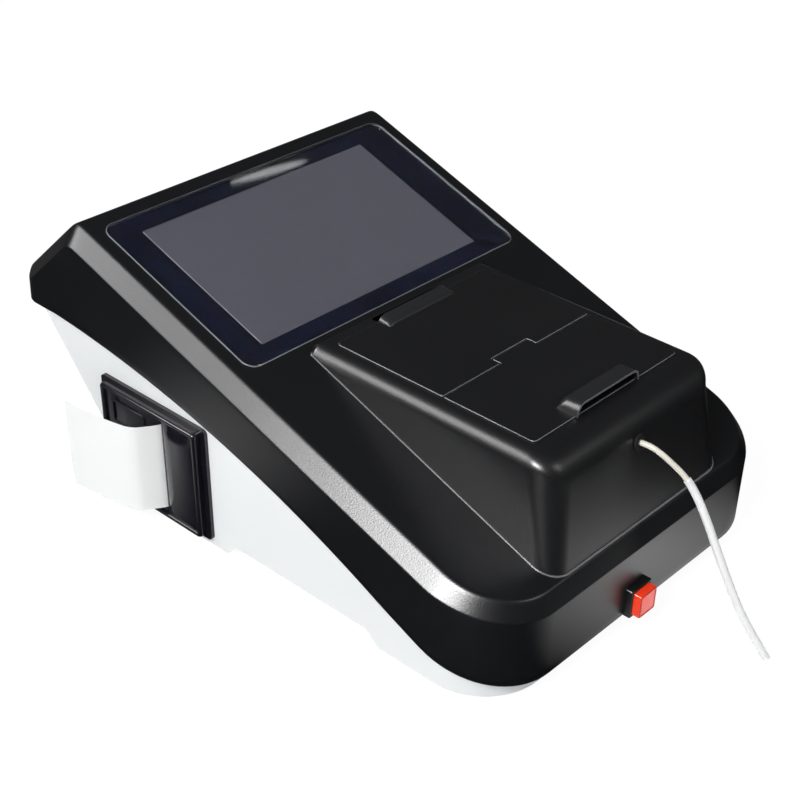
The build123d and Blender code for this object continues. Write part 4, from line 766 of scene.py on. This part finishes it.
def hood_outline(half, front, rear, front_radius, rear_radius):
    """Hood plan at one level: the same number of points for every level, more of them down its sides."""
    rows = np.linspace(rear - rear_radius - 0.002, front + front_radius + 0.002, 9)
    corners = [(half, rear), (-half, rear), *[(-half, y) for y in rows]]
    corners += [(-half, front), (half, front), *[(half, y) for y in rows[::-1]]]
    blanks = [0.0] * len(rows)
    radii = [rear_radius, rear_radius, *blanks, front_radius, front_radius, *blanks]
    return rounded_outline(corners, radii, 12)


def hood_skin(wall, roof, side_round, front_round, rear_round):
    """Rings up one skin of the hood, moved in by wall and down by roof.

    A rounded top edge of radius r on a wall that leans by a has its centre r * tan((90 - a) / 2) inside
    the sharp edge. Heights of side, front and rear edges blend by the squares of the plan normal.
    """
    top = hood_top - roof
    half = hood_half + roof * np.tan(hood_draft) - wall
    front = hood_front - roof * np.tan(hood_lean) + wall / np.cos(hood_lean)
    rear = hood_rear + roof * np.tan(hood_draft) - wall
    leans = np.array([hood_draft, hood_lean, hood_draft])
    rounds = np.array([side_round, front_round, rear_round])
    centres = -rounds * np.tan((np.pi / 2 - leans) / 2)
    rings = []
    for share in np.linspace(1.0, 0.0, 13):
        turn = (np.pi / 2 - leans) * share
        out = centres + rounds * np.sin(turn)
        level = top - rounds + rounds * np.cos(turn)
        corner = roof_corner + (hood_corner - wall - roof_corner) * share
        flat, normal = hood_outline(half + out[0], front - out[1], rear + out[2], corner, back_corner)
        front_share = np.where(normal[:, 1] < 0, normal[:, 1]**2, 0.0)
        rear_share = np.where(normal[:, 1] > 0, normal[:, 1]**2, 0.0)
        height = level[0] * normal[:, 0]**2 + level[1] * front_share + level[2] * rear_share
        rings.append(lifted(flat, np.maximum(height, slope_height(flat[:, 1]) - hood_sink)))
    margin = 0.0008
    roof_half = half + centres[0] - margin
    roof_front = front - centres[1] + margin
    flat, normal = hood_outline(roof_half, roof_front, rear - 0.0030, roof_corner - 0.0006, back_corner)
    rings.append(lifted(flat, top))
    reach = foot_half - wall
    corner = foot_corner - wall / 2
    flat, normal = hood_outline(reach, foot_front + wall, rear + hood_sink, corner, back_corner)
    foot = lifted(flat, slope_height(flat[:, 1]) - hood_sink)
    foot[:, 0] *= (hood_half - wall + (hood_top - foot[:, 2]) * np.tan(hood_draft)) / reach
    return foot, normal, rings


foot, foot_normal, skin = hood_skin(0.0, 0.0, 0.009, 0.019, 0.001)
inner_foot, _, inner_skin = hood_skin(0.0026, 0.004, 0.0065, 0.015, 0.001)
wall_rings = [foot + (skin[0] - foot) * share for share in np.linspace(0.0, 1.0, 7)[1:-1]]
hood_rings = [foot, *wall_rings, *skin]
lip_profile = [(0.0, -0.0003), (0.0007, -0.0003), (0.0007, 0.0002), (0.0004, 0.0006), (0.0, 0.0006)]
lip_rings = []
for lip_reach, lip_height in lip_profile:
    lip_flat = foot[:, :2] + foot_normal * lip_reach
    lip_rings.append(lifted(lip_flat, slope_height(lip_flat[:, 1]) + lip_height))
recess_flat, _ = rounded_outline(rectangle((-0.0626, -0.2118), (0.0626, -0.0760)), [0.0031] * 4, 6)
seam_y = -0.1521
mouth_corners = [
    (0.058, -0.080), (-0.058, -0.080), (-0.058, seam_y + 0.006), (-0.0624, seam_y + 0.006),
    (-0.0624, seam_y - 0.006), (-0.058, seam_y - 0.006), (-0.058, -0.208), (0.058, -0.208),
    (0.058, seam_y - 0.006), (0.0624, seam_y - 0.006), (0.0624, seam_y + 0.006), (0.058, seam_y + 0.006),
]
mouth_radii = [0.0012, 0.0012, *[0.0003] * 4, 0.0012, 0.0012, *[0.0003] * 4]
mouth_flat, _ = rounded_outline(mouth_corners, mouth_radii, 4)
slot_flat, _ = rounded_outline(rectangle((-0.0285, -0.0747), (0.0245, -0.0705)), [0.0008] * 4, 4)
slot_z = hood_top - 0.0022
ledge_z = 0.1219
under_z = hood_top - 0.004
facing_up = (0.0, 0.0, 1.0)
facing_down = (0.0, 0.0, -1.0)
hood_count = len(foot)
hood_parts = [
    (np.concatenate(hood_rings), ring_faces(len(hood_rings), hood_count)),
    filled(skin[-1], [lifted(recess_flat, hood_top), lifted(slot_flat, hood_top)], facing_up),
    band(lifted(recess_flat, hood_top), lifted(recess_flat, ledge_z)),
    filled(lifted(recess_flat, ledge_z), [lifted(mouth_flat, ledge_z)], facing_up),
    band(lifted(mouth_flat, ledge_z), lifted(mouth_flat, under_z)),
    band(lifted(slot_flat, hood_top), lifted(slot_flat, slot_z)),
    filled(lifted(slot_flat, slot_z), [], facing_up),
    filled(inner_skin[-1], [lifted(mouth_flat, under_z)], facing_down),
    (np.concatenate([*inner_skin[::-1], inner_foot]), ring_faces(len(inner_skin) + 1, hood_count)),
    band(inner_foot, hood_rings[0]),
]
black_hood = grain_material("black_hood", (0.0085, 0.0088, 0.0098), 0.34, 0.0009, 0.00024)
surface("hood_shell", *joined(hood_parts), black_hood, "housing", "black_hood", ["sample_hood"])
# Painted highlight: a light grey gloss on thin edges stands in for the bright lines that they catch.
painted_edge_highlight = grain_material("painted_edge_highlight", (0.16, 0.16, 0.165), 0.22, 0.002, 0.00002)
# The thin lip round the hood's foot wears that painted highlight, for the bright line along the foot.
surface("hood_foot_lip", *hoop(lip_rings), painted_edge_highlight, "housing", "black_hood")


# Lids: two thin plates that meet at a seam, each with a rounded bar along it where its hinge pin runs.
# A tongue of the front lid reaches over the seam, and each lid has a moulded pull along its outer edge.
lid_top = 0.1246
lid_half = 0.0623
lid_thick = 0.0026
lid_soft = 0.0005


def rounded_box(low, high, radius):
    """Closed box between two corners with its upper and upright edges rounded."""
    flat, normal = rounded_outline(rectangle(low, high), [radius] * 4, 5)
    turn = np.linspace(0.0, np.pi / 2, 5)
    rise = np.column_stack([radius * (1 - np.cos(turn)), high[2] - radius * (1 - np.sin(turn))])
    sink = np.column_stack([radius * (1 - np.cos(turn)), low[2] + radius * (1 - np.sin(turn))])[::-1]
    return capped(plate(flat, normal, [*sink, *rise], lifted))


def lid_plate(corners, radii):
    """Closed lid plate: a quarter round along its upper edge, and a nearly sharp lower edge."""
    flat, normal = rounded_outline(corners, radii, 7)
    turn = np.linspace(0.0, np.pi / 2, 6)
    rise = np.column_stack([lid_soft * (1 - np.cos(turn)), lid_top - lid_soft * (1 - np.sin(turn))])
    lower = lid_top - lid_thick
    profile = [(0.0002, lower), (0.0, lower + 0.0002), *rise, (0.0009, lid_top)]
    return capped(plate(flat, normal, profile, lifted))


def paint_light_and_shade(piece, material, chosen):
    """Paints light or shade: gives a second material to the faces that chosen(centres, normals) picks out."""
    mesh = piece.data
    centres = np.zeros(3 * len(mesh.polygons))
    normals = np.zeros(3 * len(mesh.polygons))
    mesh.polygons.foreach_get("center", centres)
    mesh.polygons.foreach_get("normal", normals)
    mesh.materials.append(material)
    picked = chosen(centres.reshape(-1, 3), normals.reshape(-1, 3))
    mesh.polygons.foreach_set("material_index", picked.astype(np.int32))


half_seam = 0.00035
bar_reach = 0.00475
bar_low = 0.1202
bar_high = 0.1228
bar_round = 0.0008
front_near = seam_y - half_seam
front_far = -0.2115
tongue_half = 0.015
front_corners = [
    (lid_half, front_near), (tongue_half, front_near), (tongue_half, seam_y + 0.0063),
    (-tongue_half, seam_y + 0.0063), (-tongue_half, front_near), (-lid_half, front_near),
    (-lid_half, front_far), (lid_half, front_far),
]
tight = 0.0010
front_lid_parts = [
    lid_plate(front_corners, [tight, tight, tight, tight, tight, tight, 0.003, 0.003]),
    rounded_box((-lid_half, seam_y - bar_reach, bar_low), (lid_half, front_near, bar_high), bar_round),
]
front_plate = surface(
    "front_lid_plate", *joined(front_lid_parts), black_hood, "front_lid_body", "black_hood", ["front_lid"]
)


def upper_edge(centres, normals):
    """Faces of a lid's soft upper edge, which get a painted highlight."""
    return (centres[:, 2] > lid_top - lid_soft - 0.0002) & (normals[:, 2] < 0.93)


# The front lid's soft upper edge gets a painted highlight in a lighter grey.
paint_light_and_shade(front_plate, painted_edge_highlight, upper_edge)
rear_near = seam_y + half_seam
rear_far = -0.0763
cut_half = 0.0155
bar_start = cut_half + 0.0002
rear_corners = [
    (lid_half, rear_far), (-lid_half, rear_far), (-lid_half, rear_near), (-cut_half, rear_near),
    (-cut_half, seam_y + 0.0070), (cut_half, seam_y + 0.0070), (cut_half, rear_near), (lid_half, rear_near),
]
rear_lid_parts = [
    lid_plate(rear_corners, [0.003, 0.003, tight, tight, tight, tight, tight, tight]),
    rounded_box((bar_start, rear_near, bar_low), (lid_half, seam_y + bar_reach, bar_high), bar_round),
    rounded_box((-lid_half, rear_near, bar_low), (-bar_start, seam_y + bar_reach, bar_high), bar_round),
]
rear_plate = surface(
    "rear_lid_plate", *joined(rear_lid_parts), black_hood, "rear_lid_body", "black_hood", ["rear_lid"]
)
# The rear lid's soft upper edge gets the same painted highlight.
paint_light_and_shade(rear_plate, painted_edge_highlight, upper_edge)


def pull(low_x, high_x, lip_y, back_y, height, end_round, back_round, lip_lift):
    """Skin of a moulded pull, open along its lip: height = rise * cos(end turn) * cos(back turn).

    Along x it is flat and falls in a quarter ellipse at each end; from the lip it runs back a little
    lower and falls in a quarter ellipse to its back edge.
    """
    turn = np.linspace(0.0, np.pi / 2, 9)
    x = np.concatenate([
        low_x + end_round * (1 - np.sin(turn[::-1])),
        np.linspace(low_x + end_round, high_x - end_round, 9)[1:-1],
        high_x - end_round * (1 - np.sin(turn)),
    ])
    x_fall = np.concatenate([np.cos(turn[::-1]), np.ones(7), np.cos(turn)])
    side = np.sign(back_y - lip_y)
    flat_share = np.linspace(0.0, 1.0, 6)
    y = np.concatenate([
        lip_y + (back_y - side * back_round - lip_y) * flat_share[:-1],
        back_y - side * back_round * (1 - np.sin(turn)),
    ])
    y_fall = np.concatenate([1.0 + lip_lift * (1 - flat_share[:-1]), np.cos(turn)])
    rise = height * x_fall[:, None] * y_fall[None, :]
    grid = np.stack([
        np.broadcast_to(x[:, None], rise.shape),
        np.broadcast_to(y[None, :], rise.shape),
        lid_top - 0.0002 + rise,
    ], -1)
    return grid.reshape(-1, 3), grid_faces(*rise.shape, side < 0)


def lip_face(centres, normals):
    """Faces of the front pull's cut edge, which looks at the user and gets a painted highlight."""
    return (centres[:, 1] < -0.2125) & (normals[:, 1] < -0.7)


handle_gloss = grain_material("handle_gloss", (0.0200, 0.0203, 0.0218), 0.30, 0.0010, 0.00010)
front_pull = pull(-0.0296, 0.0246, -0.2128, -0.1996, 0.0070, 0.0062, 0.0046, 0.06)
front_grip = surface(
    "front_pull",
    *front_pull,
    handle_gloss,
    "front_lid_body",
    "black_hood",
    ["front_lid_handle"],
    50.0,
    0.0013,
)
# The front pull's cut edge gets a painted highlight in a lighter grey.
paint_light_and_shade(front_grip, painted_edge_highlight, lip_face)
rear_pull = pull(-0.0286, 0.0268, -0.0764, -0.0850, 0.0030, 0.0060, 0.0050, 0.20)
surface(
    "rear_pull", *rear_pull, handle_gloss, "rear_lid_body", "black_hood", ["rear_lid_handle"], 50.0, 0.0012
)


# Base housing: the white moulded lower shell, with drafted walls, foot bands, a fan grille and socket holes.
# Its form comes with the frame, and so do the rubber strips glued under it.
white_base = grain_material("white_base", (0.775, 0.79, 0.785), 0.38, 0.0012, 0.00004, 0.015, 0.2)
wear_material("base_housing", white_base)
wear_material("rubber_feet", black_rubber)


# Printer: a glossy dark receipt printer in the left wall, with a raised rounded frame, a bulged side panel
# and a door that the paper strip leaves by. The strip is thin white paper with a torn, toothed edge.
lean = np.radians(2.5)
wall_origin = np.array([-0.1202, 0.0, 0.0])
wall_across = np.array([0.0, -1.0, 0.0])
wall_along = np.array([-np.sin(lean), 0.0, np.cos(lean)])
wall_out = np.array([-np.cos(lean), 0.0, -np.sin(lean)])


def on_wall(flat, height):
    """Points on the left wall: along it to the front, up it, and out of it."""
    flat = np.asarray(flat, dtype=float)
    out = np.broadcast_to(height, len(flat))
    return wall_origin + flat[:, :1] * wall_across + flat[:, 1:] * wall_along + out[:, None] * wall_out


def wall_box(low, high, radius, steps=6):
    """Rounded outline on the left wall between two corners."""
    return rounded_outline(rectangle(low, high), [radius] * 4, steps)


printer_gloss = grain_material("printer_gloss", (0.0070, 0.0064, 0.0100), 0.15, 0.004, 0.00006, 0.1, 0.15)
bead_flat, bead_out = wall_box((-0.0435, 0.0070), (0.0360, 0.0780), 0.003, 8)
bead_turn = np.linspace(0.0, np.pi, 9)
bead_round = np.column_stack([0.0017 - 0.0015 * np.cos(bead_turn), 0.0058 + 0.0013 * np.sin(bead_turn)])
bead_profile = [(0.0002, 0.0022), *bead_round, (0.0032, 0.0022)]
bead_rings = plate(bead_flat, bead_out, bead_profile, on_wall)
surface("printer_bead", *hoop(bead_rings), printer_gloss, "housing", "printer")


def pillow(low, high, base, rise, radius, bulge, name, body):
    """Closed panel on the left wall whose face bulges: base + rise * (1 - |u|^bulge) * (1 - |v|^14).

    u and v run from -1 to 1 across the panel and up it, inside its rounded rim.
    """
    flat, normal = wall_box(low, high, radius)
    inner_low = np.array(low) + 0.0005
    inner_high = np.array(high) - 0.0005
    middle = (inner_low + inner_high) / 2
    half = (inner_high - inner_low) / 2
    grid_u, grid_v = np.meshgrid(np.linspace(-1.0, 1.0, 25), np.linspace(-1.0, 1.0, 17), indexing="ij")
    height = base + rise * (1 - np.abs(grid_u)**bulge) * (1 - np.abs(grid_v)**14)
    spots = middle + half * np.column_stack([grid_u.ravel(), grid_v.ravel()])
    face = (on_wall(spots, height.ravel()), grid_faces(*height.shape))
    rim_profile = [(0.0, 0.0024), (0.0, base - 0.0004), (0.0004, base - 0.0001)]
    rim = capped(plate(flat, normal, rim_profile, on_wall))
    return surface(name, *joined([face, rim]), printer_gloss, body, "printer")


panel_low = 0.0102
panel_high = 0.0748
side_panel = ("printer_side_panel", "housing")
door_face = ("printer_door_face", "printer_door_body")
pillow((0.0090, panel_low), (0.0326, panel_high), 0.0060, 0.0030, 0.0012, 2.2, *side_panel)
pillow((-0.0360, panel_low), (0.0058, panel_high), 0.0054, 0.0010, 0.0015, 4.0, *door_face)
pull_flat, pull_out = wall_box((-0.0330, 0.0560), (-0.0050, 0.0715), 0.0025)
pull_turn = np.linspace(0.0, np.pi, 6)
pull_round = np.column_stack([0.0006 - 0.0006 * np.cos(pull_turn), 0.0065 + 0.0006 * np.sin(pull_turn)])
pull_profile = [(0.0, 0.0050), *pull_round, (0.0012, 0.0050)]
pull_rings = plate(pull_flat, pull_out, pull_profile, on_wall)
surface("printer_door_pull", *hoop(pull_rings), printer_gloss, "printer_door_body", "printer")
wear_material("printer_frame", printer_gloss)
wear_material("printer_door", printer_gloss)

# The strip's path over the wall is a chain of guide points with its corners cut four times
paper_path = np.array([
    (7.4, -1.5), (7.3, 4.5), (2.2, 12.0), (-3.0, 18.6), (-14.0, 21.4), (-33.0, 24.8), (-50.0, 26.0),
]) * 0.001
for _ in range(4):
    first = 0.75 * paper_path[:-1] + 0.25 * paper_path[1:]
    second = 0.25 * paper_path[:-1] + 0.75 * paper_path[1:]
    between = np.stack([first, second], 1).reshape(-1, 2)
    paper_path = np.concatenate([paper_path[:1], between, paper_path[-1:]])
paper_low = 0.0140
paper_width = 0.0570
paper_columns = 58
tooth_count = 28.5
tooth_depth = 0.0005
paper_bow = 0.0006
paper_across = np.linspace(0.0, 1.0, paper_columns)
path_x = np.broadcast_to(paper_path[:, :1], (len(paper_path), paper_columns)).copy()
path_out = np.broadcast_to(paper_path[:, 1:], (len(paper_path), paper_columns)).copy()
path_x[-1] -= tooth_depth * np.abs((paper_across * tooth_count) % 1.0 - 0.5) * 2
along_strip = np.linspace(0.0, 1.0, len(paper_path))[:, None]
path_out += paper_bow * np.sin(np.pi * paper_across)[None, :] * along_strip
paper_up = np.broadcast_to(paper_low + paper_width * paper_across, path_x.shape)
paper_flat = np.column_stack([path_x.ravel(), paper_up.ravel()])
thermal_paper = grain_material("thermal_paper", (0.80, 0.805, 0.80), 0.5, 0.0006, 0.00002, 0.01, 0.2)
surface(
    "paper_tongue",
    on_wall(paper_flat, path_out.ravel()),
    grid_faces(len(paper_path), paper_columns),
    thermal_paper,
    "printer_door_body",
    "paper",
    ["paper_strip"],
    wall=0.00012,
)
wear_material("paper_roll", thermal_paper)
wear_material("platen_roller", black_rubber)


# Power button: a red square cap in a black bezel on the front wall. The cap carries a painted orange red
# glow, its thin rim a painted shade in deeper red, and its face, set back a little, a painted highlight in
# paler red.
button_x = -0.0075
button_z = 0.0175
wall_y = -0.2470
bezel_side = 0.018
cap_side = 0.0145
cap_proud = 0.0090
button_corner = 0.0012


def on_front(flat, height):
    """Points on the front wall: across it, up it, and out of it."""
    flat = np.asarray(flat, dtype=float)
    return np.column_stack([flat[:, 0], np.full(len(flat), wall_y) - height, flat[:, 1]])


def button_square(side):
    """Rounded square round the button's middle."""
    half = side / 2
    points, normals = rounded_outline(rectangle((-half, -half), (half, half)), [button_corner] * 4, 6)
    return points + np.array([button_x, button_z]), normals


def cap_form(profile):
    """A closed form of rounded squares, each inset from the cap's side and at its height off the wall."""
    return capped([on_front(button_square(cap_side - 2 * inset)[0], height) for inset, height in profile])


bezel_flat, bezel_out = button_square(bezel_side)
bezel_profile = [
    (0.0, -0.0005), (0.0, 0.0034), (0.0003, 0.0039), (0.0008, 0.0042), (0.00125, 0.0042), (0.00145, 0.0039),
    (0.00145, -0.0100), (0.0008, -0.0100), (0.0008, -0.0005),
]
bezel_rings = plate(bezel_flat, bezel_out, bezel_profile, on_front)
satin_black = grain_material("satin_black", (0.006, 0.006, 0.007), 0.32, 0.0015, 0.00004)
surface("button_bezel", *hoop(bezel_rings), satin_black, "housing", "black_trim", ["power_button_bezel"])
cap_profile = [
    (0.0, -0.0090), (0.0, cap_proud - 0.0008), (0.00018, cap_proud - 0.0003), (0.0005, cap_proud),
    (0.0011, cap_proud), (0.0014, cap_proud - 0.0004),
]
red_cap = grain_material("red_cap", (0.78, 0.040, 0.008), 0.22, 0.002, 0.00003)
# Painted glow: a weak emission stands in for light on the red cap, which is no lamp.
set_socket(red_cap, "Emission Color", (0.9, 0.035, 0.008, 1.0))
set_socket(red_cap, "Emission Strength", 0.22)
red_cube = surface("button_cap", *cap_form(cap_profile), red_cap, "button_body", "red", ["power_button"])


def cap_rim(centres, normals):
    """Faces of the cap's rim, which turn in from its sides to the set back face and get a painted shade."""
    return (centres[:, 1] < wall_y - cap_proud + 0.0005) & (normals[:, 1] > -0.95)


# Painted shade: a deeper red on the cap's rim.
painted_shade_red = grain_material("painted_shade_red", (0.22, 0.008, 0.004), 0.3, 0.002, 0.00003)
paint_light_and_shade(red_cube, painted_shade_red, cap_rim)
# Painted highlight: a paler red with a weak painted glow on the set back face.
painted_highlight_red = grain_material("painted_highlight_red", (0.84, 0.115, 0.085), 0.35, 0.003, 0.00004)
set_socket(painted_highlight_red, "Emission Color", (0.9, 0.09, 0.06, 1.0))
set_socket(painted_highlight_red, "Emission Strength", 0.25)
face_profile = [(0.00145, cap_proud - 0.0006), (0.00145, cap_proud - 0.0002), (0.0018, cap_proud - 0.0001)]
surface("button_face", *cap_form(face_profile), painted_highlight_red, "button_body", "red")


# Everything else keeps its form from the frame and gets its own finish: the tray and pump under the rear
# lid, the optics under the front one, boards, screws, and the sockets and fan in the rear wall.
def metal_material(name, colour, roughness, grain_size):
    """Bare or plated metal: noise drifts its roughness, and fine noise gives a drawn or cast surface."""
    material = grain_material(name, colour, roughness, grain_size, 0.00003, 0.05, 0.15)
    set_socket(material, "Metallic", 1.0)
    return material


finishes = {
    grain_material("tray_grey", (0.060, 0.064, 0.070), 0.45, 0.0014, 0.0001): ["bay_tray"],
    grain_material("pump_white", (0.62, 0.63, 0.62), 0.4, 0.0016, 0.00006, 0.03): ["pump_housing"],
    grain_material("roller_nylon", (0.66, 0.65, 0.58), 0.35, 0.002, 0.00004, 0.03): [
        "pump_rollers", "pump_rotor",
    ],
    grain_material("silicone", (0.70, 0.68, 0.58), 0.3, 0.002, 0.00004, 0.04): [
        "pump_tube", "cell_inlet_tube",
    ],
    metal_material("zinc_steel", (0.56, 0.57, 0.59), 0.34, 0.0008): [
        "cover_screws", "hood_screws", "board_screws", "lid_hinge_pins", "display_bracket",
        "printer_door_pin", "filter_motor_plate", "filter_motor", "pump_motor", "board_standoffs",
        "usb_ports", "serial_port",
    ],
    metal_material("milled_aluminium", (0.66, 0.67, 0.69), 0.38, 0.0006): [
        "optics_bench", "lamp_house", "lens_holder", "flow_cell_block", "filter_wheel",
    ],
    grain_material("solder_mask", (0.010, 0.085, 0.036), 0.35, 0.003, 0.00008): [
        "main_board", "detector_board", "power_board",
    ],
    grain_material("black_nylon", (0.010, 0.010, 0.011), 0.42, 0.0014, 0.00008): [
        "dc_inlet", "power_switch_body", "power_rocker", "fan_frame", "fan_rotor", "button_switch",
        "print_head",
    ],
    grain_material("foam_black", (0.012, 0.012, 0.012), 0.95, 0.0012, 0.0004): ["display_gasket"],
    grain_material("lamp_ceramic", (0.68, 0.66, 0.61), 0.6, 0.0015, 0.0001): ["halogen_lamp"],
    grain_material("coated_filter", (0.42, 0.18, 0.05), 0.12, 0.004, 0.00002): ["interference_filters"],
    grain_material("quartz", (0.62, 0.68, 0.72), 0.08, 0.004, 0.00002): ["flow_cell", "condenser_lens"],
}
for finish, node_names in finishes.items():
    for node_name in node_names:
        wear_material(node_name, finish)
